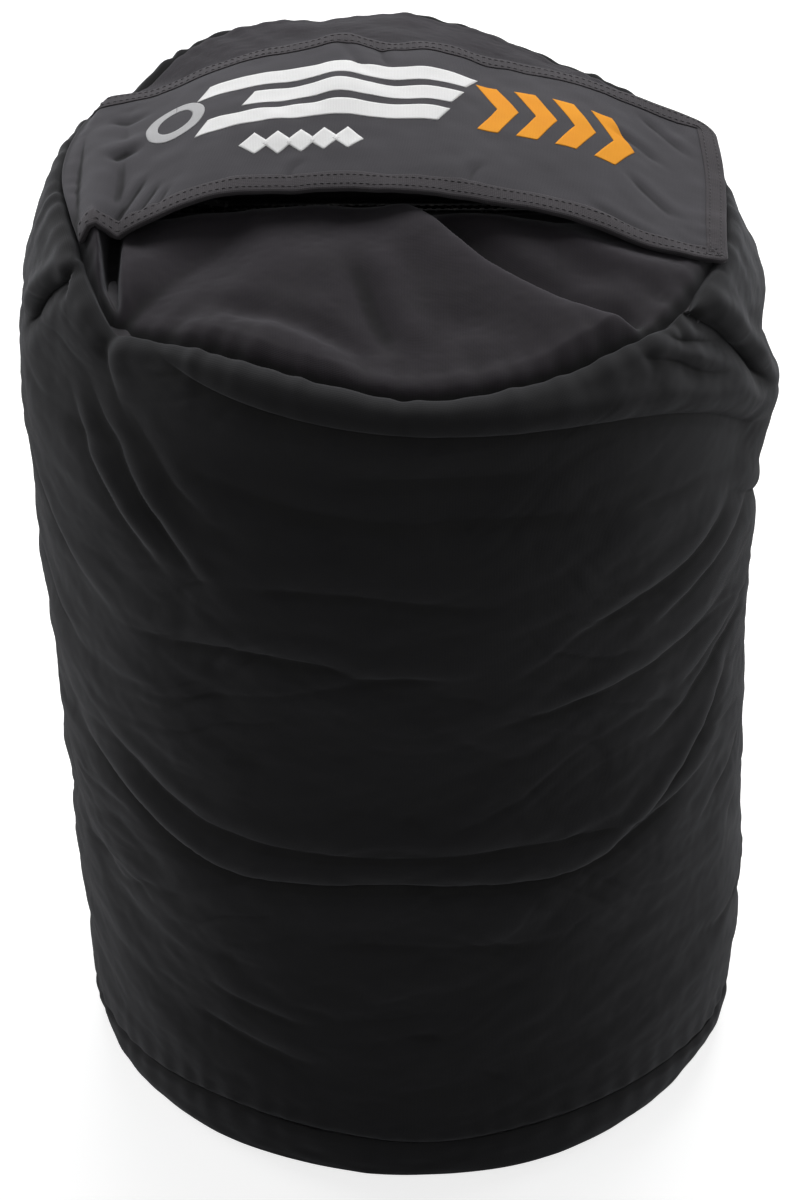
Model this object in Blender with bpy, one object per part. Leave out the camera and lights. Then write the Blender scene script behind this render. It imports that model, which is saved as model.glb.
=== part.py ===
"""Strongman sandbag, standing on its base: a tapered cloth tube with a rounded base, a slack top
with a zipped filling mouth, and a bound flap over the mouth that lifts about its left end.

Metres, +Z up. The origin is the middle of the face that the bag stands on. The front is -Y, the flap
runs along X, and its sewn end is at -X.
"""

import math

import bmesh
import bpy
from mathutils import Matrix, Vector

# Body of the bag, outside sizes
BODY_BOTTOM_RADIUS = 0.2007
BODY_SHOULDER_RADIUS = 0.2155
BASE_ROUND = 0.0287
BASE_SEAM_HEIGHT = 0.038
RIM_INSET = 0.0255
RIM_HEIGHT = 0.5695
SHOULDER_DROP = 0.036
SHOULDER_RISE_SHARE = 0.72
RIM_TILT = 0.026
RIM_ROLL = 0.010
TILT_START_SHARE = 0.55
BODY_LEAN = 0.012
LEAN_START_SHARE = 0.14
LEAN_END_SHARE = 0.80

# Cloth, tape and the gap left between two pieces that touch
CLOTH = 0.0016
FLAP_CLOTH = 0.0009
SEAM_TAPE = 0.0008
SEAM_TAPE_WIDTH = 0.018
TAPE_TURN_SHARES = (0.25, 1.0)
RIM_TAPE_CLEARANCE = 0.0009
GAP = 0.0003

# Top panels: a shallow crown with a gutter along X, where the mouth is
CROWN = 0.031
ZIP_SINK = 0.008
MOUTH_HALF_LENGTH = 0.115
MOUTH_LEFT_SHIFT = 0.022
MOUTH_HALF_WIDTH = 0.009
GUTTER_FLAT_HALF_WIDTH = 0.023
GUTTER_HALF_WIDTH = 0.060

# Zip
ZIP_TAPE = 0.0007
ZIP_TAPE_WIDTH = 0.0170
ZIP_TAPE_OVERLAP = 0.006
CHAIN_HALF_WIDTH = 0.0040
CHAIN_HEIGHT = 0.0030
CHAIN_END_INSET = 0.011
TOOTH_PITCH = 0.005
TOOTH_SHARE = 0.55
TOOTH_SPINE = 0.0013
STOP_LENGTH = 0.0030
STOP_HEIGHT = 0.0040
STOP_WIDTH = 0.0025
SLIDER_LENGTH = 0.020
SLIDER_HALF_WIDTH = 0.0067
SLIDER_PLATE = 0.0014
SLIDER_CLEARANCE = 0.0004
SLIDER_POST_LENGTH = 0.0030
SLIDER_POST_WIDTH = 0.0022
PIN_RADIUS = 0.0009
PIN_RISE = 0.0026
EAR_THICKNESS = 0.0014
EAR_RADIUS = 0.0019
PULL_LENGTH = 0.027
PULL_WIDTH = 0.0076
PULL_THICKNESS = 0.0014
PULL_EYE_RADIUS = 0.0021
PULL_NECK_LENGTH = 0.0045
PULL_HOLE_RADIUS = 0.0018
PULL_CLEARANCE = 0.0003

# Flap over the mouth
FLAP_HALF_WIDTH = 0.070
FLAP_BACK_SHIFT = 0.005
FLAP_HINGE_INSET = 0.020
FLAP_HINGE_RISE = 0.0085
FLAP_END_INSET = 0.002
FLAP_ARCH = 0.0395
FLAP_BACK_LIFT = 0.0040
FLAP_ARCH_SHARES = (0.0, 0.42, 0.84, 1.0, 0.94, 0.76, 0.38, 0.0)
FLAP_LANDING_LENGTH = 0.075
BINDING = 0.0008
BINDING_WIDTH = 0.012
BINDING_CLEARANCE = 0.0004
ROOT_CLOTH = 0.0018
ROOT_SIDE_CLEARANCE = 0.0015
HOOK_TAPE = 0.0014
HOOK_TAPE_WIDTH = 0.020
HOOK_TAPE_MARGIN = 0.006
LOOP_CLEARANCE = 0.0009

# Liner, its tie and the sand
LINER = 0.0010
LINER_CLEARANCE = 0.0016
LINER_HEADROOM = 0.012
NECK_WELL_DEPTH = 0.036
NECK_WELL_RADIUS = 0.075
NECK_RADIUS = 0.0085
NECK_FOOT_RADIUS = 0.022
NECK_HEIGHT = 0.028
FILLING_RING_SHARES = (0.93, 0.80, 0.62, 0.44, 0.28)
NECK_SHARES = ((0.45, 0.06), (0.0, 0.30), (0.0, 0.72), (0.35, 1.0))
TIE_THICKNESS = 0.0016
TIE_HEAD = 0.006

# How finely round and curved shapes are cut
RING_STEPS = 44
WALL_ROWS = 6
SHOULDER_ROWS = 4
CORNER_ROWS = 3
PANEL_ROW_SHARES = (0.0, 0.07, 0.17, 0.28, 0.39, 0.51, 0.64, 0.80, 1.0)
FLAP_COLUMNS = 16
TAPE_COLUMNS = 3
FLAP_ROWS = 6

# Places that follow from the sizes
CONTACT_RADIUS = BODY_BOTTOM_RADIUS - BASE_ROUND
RIM_RADIUS = BODY_SHOULDER_RADIUS - RIM_INSET
RIM_SLOPE = RIM_TILT / RIM_RADIUS
RIM_FALL = RIM_ROLL / RIM_RADIUS
ZIP_HEIGHT = RIM_HEIGHT - ZIP_SINK
ZIP_TAPE_TOP = ZIP_HEIGHT - CLOTH - GAP
CHAIN_MIDDLE = ZIP_TAPE_TOP - ZIP_TAPE / 2
CHAIN_HALF_LENGTH = MOUTH_HALF_LENGTH - CHAIN_END_INSET
TOOTH_TIP = SLIDER_POST_WIDTH / 2 + SLIDER_CLEARANCE
SLIDER_CHANNEL = CHAIN_HEIGHT / 2 + SLIDER_CLEARANCE
SLIDER_TOP = SLIDER_CHANNEL + SLIDER_PLATE
SLIDER_REST = CHAIN_HALF_LENGTH - SLIDER_LENGTH / 2 + SLIDER_POST_LENGTH + SLIDER_CLEARANCE
PIN_HEIGHT = SLIDER_TOP + PIN_RISE
PULL_DROP = PIN_HEIGHT - PULL_THICKNESS / 2 - CHAIN_HEIGHT / 2 - GAP
PULL_REST = math.atan(PULL_DROP / PULL_LENGTH)
HINGE_X = FLAP_HINGE_INSET - RIM_RADIUS
HINGE_HEIGHT = RIM_HEIGHT - RIM_FALL * HINGE_X + FLAP_HINGE_RISE
FLAP_END_X = RIM_RADIUS - FLAP_END_INSET
FLAP_FRONT_Y = FLAP_BACK_SHIFT - FLAP_HALF_WIDTH
FLAP_BACK_Y = FLAP_BACK_SHIFT + FLAP_HALF_WIDTH
FLAP_HALF = GAP / 2 + FLAP_CLOTH
FLAP_STACK = LOOP_CLEARANCE + 2 * HOOK_TAPE + 2 * GAP + FLAP_HALF
TAPE_RIGHT = FLAP_END_X - BINDING_WIDTH - HOOK_TAPE_MARGIN
TAPE_LEFT = TAPE_RIGHT - HOOK_TAPE_WIDTH


def clear_scene():
    for found in list(bpy.data.objects):
        bpy.data.objects.remove(found)


def ease(value, start, end):
    """0 before start, 1 after end, and a smooth rise between them."""
    share = min(1.0, max(0.0, (value - start) / (end - start)))
    return share * share * (3 - 2 * share)


def blend(first, second, share):
    return first + (second - first) * share


def material(name, colour, roughness, metallic=0.0):
    made = bpy.data.materials.new(name)
    made.use_nodes = True
    shader = made.node_tree.nodes["Principled BSDF"]
    shader.inputs["Base Color"].default_value = (*colour, 1.0)
    shader.inputs["Roughness"].default_value = roughness
    shader.inputs["Metallic"].default_value = metallic
    return made


def finish(name, mesh, finish_material, parent, smooth=True):
    """Closes a bmesh into a named object, with its points kept relative to its parent empty."""
    bmesh.ops.recalc_face_normals(mesh, faces=mesh.faces)
    data = bpy.data.meshes.new(name)
    mesh.to_mesh(data)
    mesh.free()
    data.transform(Matrix.Translation(-parent.matrix_world.translation))
    data.materials.append(finish_material)
    if smooth:
        data.shade_smooth()
        data.set_sharp_from_angle(angle=math.radians(40))
    made = bpy.data.objects.new(name, data)
    bpy.context.scene.collection.objects.link(made)
    made.parent = parent
    return made


def pivot(name, place, parent=None):
    """An empty that carries a group of pieces; a moving group has its empty on the joint's axis."""
    made = bpy.data.objects.new(name, None)
    bpy.context.scene.collection.objects.link(made)
    made.parent = parent
    made.location = place - (parent.matrix_world.translation if parent else Vector())
    bpy.context.view_layer.update()
    return made


# Shape of the bag

def lean(height):
    """How far the body's axis has moved along X at a height."""
    return -BODY_LEAN * ease(height, LEAN_START_SHARE * RIM_HEIGHT, LEAN_END_SHARE * RIM_HEIGHT)


def body_point(radius, height, angle):
    """A point of the turned body, with the lean of its axis and the tilt of its rim."""
    tilt = ease(height, TILT_START_SHARE * RIM_HEIGHT, RIM_HEIGHT - SHOULDER_DROP)
    across, side = math.cos(angle), math.sin(angle)
    return Vector((
        radius * across + lean(height),
        radius * side,
        height + tilt * (RIM_TILT * side - RIM_ROLL * across),
    ))


def wall_line():
    """Outside of the tube as (radius, height), from the base seam up to the rim seam."""
    top = RIM_HEIGHT - SHOULDER_DROP
    points = []
    for row in range(WALL_ROWS + 1):
        share = row / WALL_ROWS
        points.append((
            blend(BODY_BOTTOM_RADIUS, BODY_SHOULDER_RADIUS, share),
            blend(BASE_SEAM_HEIGHT, top, share),
        ))
    bend = (BODY_SHOULDER_RADIUS, top + SHOULDER_RISE_SHARE * SHOULDER_DROP)
    for row in range(1, SHOULDER_ROWS + 1):
        share = row / SHOULDER_ROWS
        points.append(tuple(
            (1 - share) ** 2 * points[WALL_ROWS][axis]
            + 2 * share * (1 - share) * bend[axis]
            + share ** 2 * (RIM_RADIUS, RIM_HEIGHT)[axis]
            for axis in (0, 1)
        ))
    return points


def corner_line():
    """Outside of the base's rounded edge, from where it meets the floor up to the base seam."""
    points = []
    for row in range(CORNER_ROWS + 1):
        turn = math.pi / 2 * row / CORNER_ROWS
        points.append((
            CONTACT_RADIUS + (BODY_BOTTOM_RADIUS - CONTACT_RADIUS) * math.sin(turn),
            BASE_SEAM_HEIGHT * (1 - math.cos(turn)),
        ))
    return points


def inset(points, depth):
    """A line moved towards the axis of the bag, or under its base, by depth."""
    moved = []
    for index, (radius, height) in enumerate(points):
        before = points[max(0, index - 1)]
        after = points[min(len(points) - 1, index + 1)]
        along, up = after[0] - before[0], after[1] - before[1]
        length = math.hypot(along, up)
        moved.append((radius - up / length * depth, height + along / length * depth))
    return moved


def cut_line(points, low, high):
    """The stretch of a line between two distances along it, with its ends cut to length."""
    made, walked = [], 0.0
    for first, second in zip(points, points[1:]):
        step = math.dist(first, second)
        for mark in (low, high):
            if walked < mark < walked + step:
                share = (mark - walked) / step
                made.append(tuple(blend(first[axis], second[axis], share) for axis in (0, 1)))
        walked += step
        if low < walked < high:
            made.append(second)
    return made


def rim_plane(x, y):
    """Height of the rim seam's plane, which falls to the front and to the right."""
    return RIM_HEIGHT + RIM_SLOPE * y - RIM_FALL * x


def crown_rise(x, y):
    """Height of the full top above the plane of the rim seam; x is measured from the top's middle."""
    return CROWN * (1 - (x * x + y * y) / RIM_RADIUS ** 2)


def top_height(x, y):
    """Outside of the top panels: the crown, with a gutter that is level along the mouth."""
    full = rim_plane(x, y) + crown_rise(x, y)
    side = abs(x + MOUTH_LEFT_SHIFT) - MOUTH_HALF_LENGTH
    room = abs(math.copysign(math.sqrt(max(RIM_RADIUS ** 2 - y * y, 0.0)), x) + MOUTH_LEFT_SHIFT)
    rise = min(1.0, max(0.0, side) / max(room - MOUTH_HALF_LENGTH, GAP))
    floor = blend(ZIP_HEIGHT, full, rise)
    return blend(full, floor, 1 - ease(abs(y), GUTTER_FLAT_HALF_WIDTH, GUTTER_HALF_WIDTH))


def arch_share(share):
    """How far the flap has risen at a share of its length, read from its table of heights."""
    spans = len(FLAP_ARCH_SHARES) - 1
    index = min(spans - 1, int(share * spans))
    before, after = FLAP_ARCH_SHARES[index], FLAP_ARCH_SHARES[index + 1]
    start = (after - FLAP_ARCH_SHARES[max(0, index - 1)]) / 2 if index else after - before
    end = (FLAP_ARCH_SHARES[min(spans, index + 2)] - before) / 2 if index < spans - 1 else after - before
    step = share * spans - index
    return (
        before * (2 * step ** 3 - 3 * step ** 2 + 1)
        + start * (step ** 3 - 2 * step ** 2 + step)
        + after * (3 * step ** 2 - 2 * step ** 3)
        + end * (step ** 3 - step ** 2)
    )


def flap_height(x, y):
    """Middle of the flap's two layers: arched over the mouth, landing on the top at its free end."""
    share = min(1.0, max(0.0, (x - HINGE_X) / (FLAP_END_X - HINGE_X)))
    lift = FLAP_ARCH + FLAP_BACK_LIFT * (y - FLAP_BACK_SHIFT) / FLAP_HALF_WIDTH
    arched = rim_plane(x, y) + FLAP_HINGE_RISE + lift * arch_share(share)
    landed = top_height(x, y) + FLAP_STACK
    return blend(arched, landed, ease(x, TAPE_LEFT - FLAP_LANDING_LENGTH, TAPE_LEFT))


# Builders of closed solids

def revolve(name, outside, inside, finish_material, parent):
    """A turned solid between two lines of stations, or one line that starts and ends on the axis.

    A station is a function of the angle. One on the axis is a single point. Both lines run the same
    way, so that nested shells are cut into triangles alike.
    """
    mesh = bmesh.new()
    lines = []
    for stations in (outside, inside):
        rows = []
        for on_axis, place in stations:
            steps = 1 if on_axis else RING_STEPS
            rows.append([mesh.verts.new(place(2 * math.pi * step / RING_STEPS)) for step in range(steps)])
        lines.append(rows)
    pairs = [pair for rows in lines for pair in zip(rows, rows[1:])]
    if inside:
        pairs += [(lines[0][end], lines[1][end]) for end in (0, -1) if len(lines[0][end]) > 1]
    for first, second in pairs:
        for step in range(RING_STEPS):
            turn = (step + 1) % RING_STEPS
            if len(first) == 1:
                mesh.faces.new((first[0], second[turn], second[step]))
            elif len(second) == 1:
                mesh.faces.new((first[step], first[turn], second[0]))
            else:
                split(mesh, [first[step], first[turn], second[turn], second[step]], True)
    return finish(name, mesh, finish_material, parent)


def ring_station(radius, height):
    return (radius <= 0, lambda angle: body_point(radius, height, angle))


def rings(points):
    return [ring_station(*point) for point in points]


def top_station(radius, drop):
    """A ring that follows the top panels, a drop below their outside."""
    def place(angle):
        x, y = radius * math.cos(angle), radius * math.sin(angle)
        return Vector((x - BODY_LEAN, y, top_height(x, y) - drop(radius)))
    return (radius <= 0, place)


def slab(name, columns, above, below, finish_material, parent):
    """A closed solid between two heights over a grid of (x, y) columns measured from the top's middle."""
    mesh = bmesh.new()

    def layer(height):
        return [[mesh.verts.new((x - BODY_LEAN, y, height(x, y))) for x, y in column] for column in columns]

    upper, lower = layer(above), layer(below)
    last_column, last_row = len(columns) - 1, len(columns[0]) - 1
    for i in range(last_column):
        for j in range(last_row):
            rising = 2 * j + 1 > last_row
            for grid in (upper, lower):
                ring = [grid[i][j], grid[i + 1][j], grid[i + 1][j + 1], grid[i][j + 1]]
                split(mesh, ring, rising)
    for i in range(last_column):
        for j in (0, last_row):
            mesh.faces.new((upper[i][j], upper[i + 1][j], lower[i + 1][j], lower[i][j]))
    for j in range(last_row):
        for i in (0, last_column):
            mesh.faces.new((upper[i][j], upper[i][j + 1], lower[i][j + 1], lower[i][j]))
    bmesh.ops.remove_doubles(mesh, verts=mesh.verts, dist=GAP / 100)
    return finish(name, mesh, finish_material, parent)


def split(mesh, ring, rising):
    """Two triangles from four corners, cut from the first to the third, or the other way."""
    first, second, third, fourth = ring
    if rising:
        mesh.faces.new((first, second, third))
        mesh.faces.new((first, third, fourth))
    else:
        mesh.faces.new((first, second, fourth))
        mesh.faces.new((second, third, fourth))


def block(name, low, high, finish_material, parent):
    """A plain box between two corners in the bag's own frame."""
    mesh = bmesh.new()
    size = high - low
    scaled = Matrix.Translation((low + high) / 2) @ Matrix.Diagonal((*size, 1.0))
    bmesh.ops.create_cube(mesh, size=1.0, matrix=scaled)
    return finish(name, mesh, finish_material, parent, smooth=False)


def rod(name, middle, radius, length, finish_material, parent, upright=False, steps=20):
    """A cylinder lying along Y, or standing upright."""
    mesh = bmesh.new()
    turned = Matrix.Translation(middle) @ Matrix.Rotation(0 if upright else math.pi / 2, 4, "X")
    bmesh.ops.create_cone(
        mesh, cap_ends=True, segments=steps, radius1=radius, radius2=radius, depth=length, matrix=turned
    )
    return finish(name, mesh, finish_material, parent)


def join(body, tool, operation="UNION"):
    """Applies a Boolean of one object on another, then removes the tool."""
    cut = body.modifiers.new(tool.name, "BOOLEAN")
    cut.operation = operation
    cut.object = tool
    cut.solver = "EXACT"
    bpy.context.view_layer.update()
    graph = bpy.context.evaluated_depsgraph_get()
    made = bpy.data.meshes.new_from_object(body.evaluated_get(graph))
    body.modifiers.clear()
    body.data = made
    bpy.data.objects.remove(tool)


# Shell: tube, base and their seam tapes

def make_side_wall(cloth, bag):
    outside = wall_line()
    inside = inset(outside, CLOTH)
    inside[-1] = (RIM_RADIUS, inside[-1][1])
    return revolve("side_wall", rings(outside), rings(inside), cloth, bag)


def make_base(cloth, bag):
    outside = corner_line()
    outside[-1] = (outside[-1][0], outside[-1][1] - GAP)
    inside = inset(outside, CLOTH)
    inside[0] = (CONTACT_RADIUS, CLOTH)
    inside[-1] = (inside[-1][0], outside[-1][1])
    outside = [(0, 0), (CONTACT_RADIUS / 2, 0)] + outside
    inside = [(0, CLOTH), (CONTACT_RADIUS / 2, CLOTH)] + inside
    return revolve("base_panel", rings(outside), rings(inside), cloth, bag)


def make_base_seam_tape(tape, bag):
    """The tape sewn over the base seam inside the bag."""
    line = corner_line()
    below = sum(math.dist(first, second) for first, second in zip(line, line[1:]))
    line = inset(line + wall_line()[1:], CLOTH + GAP)
    kept = cut_line(line, below - SEAM_TAPE_WIDTH / 2, below + SEAM_TAPE_WIDTH / 2)
    return revolve("base_seam_tape", rings(kept), rings(inset(kept, SEAM_TAPE)), tape, bag)


def make_rim_seam_tape(tape, bag):
    """The tape sewn over the rim seam inside the bag: half of its width on the tube, half on the top."""
    half = SEAM_TAPE_WIDTH / 2
    line = wall_line()
    length = sum(math.dist(first, second) for first, second in zip(line, line[1:]))

    def side_and_top(depth):
        kept = cut_line(inset(line, depth), length - half, length - half / 3)
        radii = [RIM_RADIUS - share * half for share in TAPE_TURN_SHARES]
        return rings(kept) + [top_station(radius, lambda radius: depth) for radius in radii]

    near = CLOTH + RIM_TAPE_CLEARANCE
    return revolve("rim_seam_tape", side_and_top(near), side_and_top(near + SEAM_TAPE), tape, bag)


def rim_edge(x):
    """Half width of the faceted top at x, from the middle line to the rim seam."""
    step = 2 * math.pi / RING_STEPS
    angle = math.acos(min(1.0, max(-1.0, x / (RIM_RADIUS - GAP))))
    corner = math.floor(round(angle / step, 6)) * step
    low, high = (RIM_RADIUS - GAP) * math.cos(corner + step), (RIM_RADIUS - GAP) * math.cos(corner)
    share = (high - x) / (high - low)
    return (RIM_RADIUS - GAP) * blend(math.sin(corner), math.sin(corner + step), share)


def panel_columns(side):
    """The half-moon of a top panel as columns from the mouth's edge out to the rim seam."""
    half_steps = RING_STEPS // 2
    reach = RIM_RADIUS - GAP
    xs = [reach * math.cos(math.pi * step / half_steps) for step in range(half_steps + 1)]
    for end in (-1, 1):
        corner = end * MOUTH_HALF_LENGTH - MOUTH_LEFT_SHIFT
        xs += [corner, corner + end * MOUTH_HALF_WIDTH]
    columns = []
    for x in sorted(xs):
        past = abs(x + MOUTH_LEFT_SHIFT) - MOUTH_HALF_LENGTH
        mouth = min(MOUTH_HALF_WIDTH, max(MOUTH_HALF_WIDTH - past, GAP / 2))
        rim = max(rim_edge(x), GAP / 2) if abs(x) < reach - GAP else GAP / 2
        columns.append([(x, side * blend(mouth, rim, share)) for share in PANEL_ROW_SHARES])
    return columns


def make_top_panel(name, side, cloth, bag):
    def below(x, y):
        return top_height(x, y) - CLOTH
    return slab(name, panel_columns(side), top_height, below, cloth, bag)


# Zip

def zip_place(x, y, height):
    """A point by the zip: x from the chain's middle towards its closed left end, height from its middle."""
    return Vector((-x - MOUTH_LEFT_SHIFT - BODY_LEAN, y, CHAIN_MIDDLE + height))


def make_zip_tape(name, side, tape, bag):
    inner = CHAIN_HALF_WIDTH + GAP
    low, high = sorted((side * inner, side * (inner + ZIP_TAPE_WIDTH)))
    reach = CHAIN_HALF_LENGTH + ZIP_TAPE_OVERLAP
    return block(
        name, zip_place(-reach, low, -ZIP_TAPE / 2), zip_place(reach, high, ZIP_TAPE / 2), tape, bag
    )


def make_zip_teeth(name, side, metal, bag):
    """A comb of teeth on a spine beside the tape. The slider's post runs between the two combs."""
    outer, inner = side * CHAIN_HALF_WIDTH, side * (CHAIN_HALF_WIDTH - TOOTH_SPINE)
    tip = side * TOOTH_TIP
    count = int(2 * CHAIN_HALF_LENGTH / TOOTH_PITCH) - 1
    start = -CHAIN_HALF_LENGTH + TOOTH_PITCH * (0.5 if side > 0 else 0.75)
    outline = [(CHAIN_HALF_LENGTH, inner), (CHAIN_HALF_LENGTH, outer)]
    outline += [(-CHAIN_HALF_LENGTH, outer), (-CHAIN_HALF_LENGTH, inner)]
    for index in range(count):
        left = start + index * TOOTH_PITCH
        right = left + TOOTH_SHARE * TOOTH_PITCH
        outline += [(left, inner), (left, tip), (right, tip), (right, inner)]
    mesh = bmesh.new()
    face = mesh.faces.new([mesh.verts.new(zip_place(x, y, -CHAIN_HEIGHT / 2)) for x, y in outline])
    grown = bmesh.ops.extrude_face_region(mesh, geom=[face])
    raised = [item for item in grown["geom"] if isinstance(item, bmesh.types.BMVert)]
    bmesh.ops.translate(mesh, verts=raised, vec=(0, 0, CHAIN_HEIGHT))
    return finish(name, mesh, metal, bag, smooth=False)


def make_zip_stops(metal, bag):
    """Two small stops at the closed end, one on each tape, and one across both at the open end."""
    closed = CHAIN_HALF_LENGTH + SLIDER_POST_LENGTH + 2 * SLIDER_CLEARANCE
    for name, side in (("zip_top_stop_front", -1), ("zip_top_stop_back", 1)):
        inner, outer = CHAIN_HALF_WIDTH - STOP_WIDTH, CHAIN_HALF_WIDTH
        low, high = sorted((side * inner, side * outer))
        block(
            name, zip_place(closed, low, -STOP_HEIGHT / 2),
            zip_place(closed + STOP_LENGTH, high, STOP_HEIGHT / 2), metal, bag
        )
    edge = -CHAIN_HALF_LENGTH - GAP
    block(
        "zip_bottom_stop", zip_place(edge - STOP_LENGTH, -CHAIN_HALF_WIDTH, -STOP_HEIGHT / 2),
        zip_place(edge, CHAIN_HALF_WIDTH, STOP_HEIGHT / 2), metal, bag
    )


def make_slider(metal, carrier):
    """Two plates joined by a post ahead of the chain, their edges turned in towards the tapes."""
    back = SLIDER_REST - SLIDER_LENGTH / 2
    front = SLIDER_REST + SLIDER_LENGTH / 2
    wide = SLIDER_HALF_WIDTH
    channel = CHAIN_HALF_WIDTH + SLIDER_CLEARANCE
    slot = ZIP_TAPE / 2 + SLIDER_CLEARANCE
    body = block(
        "zip_slider", zip_place(back, -wide, -SLIDER_TOP), zip_place(front, wide, SLIDER_TOP), metal, carrier
    )
    nose = front - SLIDER_POST_LENGTH
    over = SLIDER_PLATE
    post = SLIDER_POST_WIDTH / 2
    join(body, block(
        "chain_channel", zip_place(back - over, -channel, -SLIDER_CHANNEL),
        zip_place(nose, channel, SLIDER_CHANNEL), metal, carrier
    ), "DIFFERENCE")
    join(body, block(
        "tape_slot", zip_place(back - over, -wide - over, -slot), zip_place(nose, wide + over, slot),
        metal, carrier
    ), "DIFFERENCE")
    for side in (-1, 1):
        low, high = sorted((side * post, side * (wide + over)))
        join(body, block(
            "post_side", zip_place(nose - over, low, -SLIDER_CHANNEL),
            zip_place(front + over, high, SLIDER_CHANNEL), metal, carrier
        ), "DIFFERENCE")
    ear_inner = PULL_WIDTH / 4 + PULL_CLEARANCE
    for side in (-1, 1):
        middle = side * (ear_inner + EAR_THICKNESS / 2)
        low, high = sorted((side * ear_inner, side * (ear_inner + EAR_THICKNESS)))
        join(body, block(
            "ear_foot", zip_place(SLIDER_REST - EAR_RADIUS, low, SLIDER_TOP - SLIDER_PLATE / 2),
            zip_place(SLIDER_REST + EAR_RADIUS, high, PIN_HEIGHT), metal, carrier
        ))
        join(body, rod(
            "ear_head", zip_place(SLIDER_REST, middle, PIN_HEIGHT), EAR_RADIUS + GAP, EAR_THICKNESS + GAP,
            metal, carrier
        ))
    join(body, rod(
        "pull_pin", zip_place(SLIDER_REST, 0, PIN_HEIGHT), PIN_RADIUS, 2 * ear_inner + EAR_THICKNESS,
        metal, carrier
    ))
    return body


def make_pull(metal, carrier):
    """A tab with an eye round the slider's pin. At rest it droops back onto the chain."""
    half = PULL_WIDTH / 4
    pin = zip_place(SLIDER_REST, 0, PIN_HEIGHT)
    body = rod("zip_pull", pin, PULL_EYE_RADIUS, 2 * half, metal, carrier)
    thick = Vector((0, 0, PULL_THICKNESS / 2))
    thin = Vector((0, 0, PULL_THICKNESS / 2 - GAP / 2))
    join(body, block(
        "pull_neck", pin + Vector((0, GAP - half, 0)) - thin,
        pin + Vector((PULL_NECK_LENGTH + PULL_THICKNESS, half - GAP, 0)) + thin, metal, carrier
    ))
    join(body, block(
        "pull_tab", pin + Vector((PULL_NECK_LENGTH, -PULL_WIDTH / 2, 0)) - thick,
        pin + Vector((PULL_LENGTH, PULL_WIDTH / 2, 0)) + thick, metal, carrier
    ))
    join(body, rod(
        "eye_bore", pin, PIN_RADIUS + PULL_CLEARANCE, 4 * half, metal, carrier
    ), "DIFFERENCE")
    join(body, rod(
        "cord_hole", pin + Vector((PULL_LENGTH - 2 * PULL_HOLE_RADIUS, 0, 0)), PULL_HOLE_RADIUS,
        4 * PULL_THICKNESS, metal, carrier, upright=True
    ), "DIFFERENCE")
    body.data.transform(Matrix.Rotation(PULL_REST, 4, "Y"))
    return body


# Flap

def spaced(low, high, count):
    return [blend(low, high, step / count) for step in range(count + 1)]


def flap_grid():
    """Lines of the flap's grid, with one at each edge of the binding and of the hook tape."""
    xs = spaced(HINGE_X + FLAP_HALF + GAP, TAPE_LEFT, FLAP_COLUMNS)
    xs += spaced(TAPE_LEFT, TAPE_RIGHT, TAPE_COLUMNS)[1:] + [FLAP_END_X - BINDING_WIDTH, FLAP_END_X]
    margin = BINDING_WIDTH + HOOK_TAPE_MARGIN
    ys = [FLAP_FRONT_Y, FLAP_FRONT_Y + BINDING_WIDTH]
    ys += spaced(FLAP_FRONT_Y + margin, FLAP_BACK_Y - margin, FLAP_ROWS)
    ys += [FLAP_BACK_Y - BINDING_WIDTH, FLAP_BACK_Y]
    return xs, ys


def make_flap_cloths(cloth, flap):
    xs, ys = flap_grid()
    columns = [[(x, y) for y in ys] for x in xs]
    for name, low, high in (
        ("flap_outer_cloth", GAP / 2, FLAP_HALF),
        ("flap_lining", -FLAP_HALF, -GAP / 2),
    ):
        slab(
            name, columns, lambda x, y: flap_height(x, y) + high, lambda x, y: flap_height(x, y) + low,
            cloth, flap
        )


def make_flap_binding(tape, flap):
    """A folded tape round the flap's three free edges, mitred at its corners."""
    xs, ys = flap_grid()
    front, back = ys[0], ys[-1]
    path = [(x, front, 0, 1) for x in xs[:-1]]
    path += [(FLAP_END_X, front, -1, 1)]
    path += [(FLAP_END_X, y, -1, 0) for y in ys[1:-1]]
    path += [(FLAP_END_X, back, -1, -1)]
    path += [(x, back, 0, -1) for x in xs[-2::-1]]
    inner = FLAP_HALF + BINDING_CLEARANCE
    outer = inner + BINDING
    leg = BINDING_WIDTH
    clear, edge = -BINDING_CLEARANCE, -BINDING_CLEARANCE - BINDING
    section = [(leg, outer), (edge, outer), (edge, -outer), (leg, -outer),
               (leg, -inner), (clear, -inner), (clear, inner), (leg, inner)]
    mesh = bmesh.new()
    rings = []
    for x, y, in_x, in_y in path:
        ring = []
        for inward, rise in section:
            px, py = x + in_x * inward, y + in_y * inward
            ring.append(mesh.verts.new((px - BODY_LEAN, py, flap_height(px, py) + rise)))
        rings.append(ring)
    count = len(section)
    middle = (front + back) / 2
    for index, (first, second) in enumerate(zip(rings, rings[1:])):
        on_end = path[index][2] < 0 and path[index + 1][2] < 0
        leg_to_edge = (path[index][1] + path[index + 1][1] < 2 * middle) != on_end
        for corner in range(count):
            turn = (corner + 1) % count
            from_leg = section[corner][0] > 0
            split(mesh, [first[corner], first[turn], second[turn], second[corner]], from_leg == leg_to_edge)
    mesh.faces.new(rings[0])
    mesh.faces.new(rings[-1][::-1])
    bmesh.ops.remove_doubles(mesh, verts=mesh.verts, dist=GAP / 100)
    return finish("flap_binding", mesh, tape, flap, smooth=False)


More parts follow.
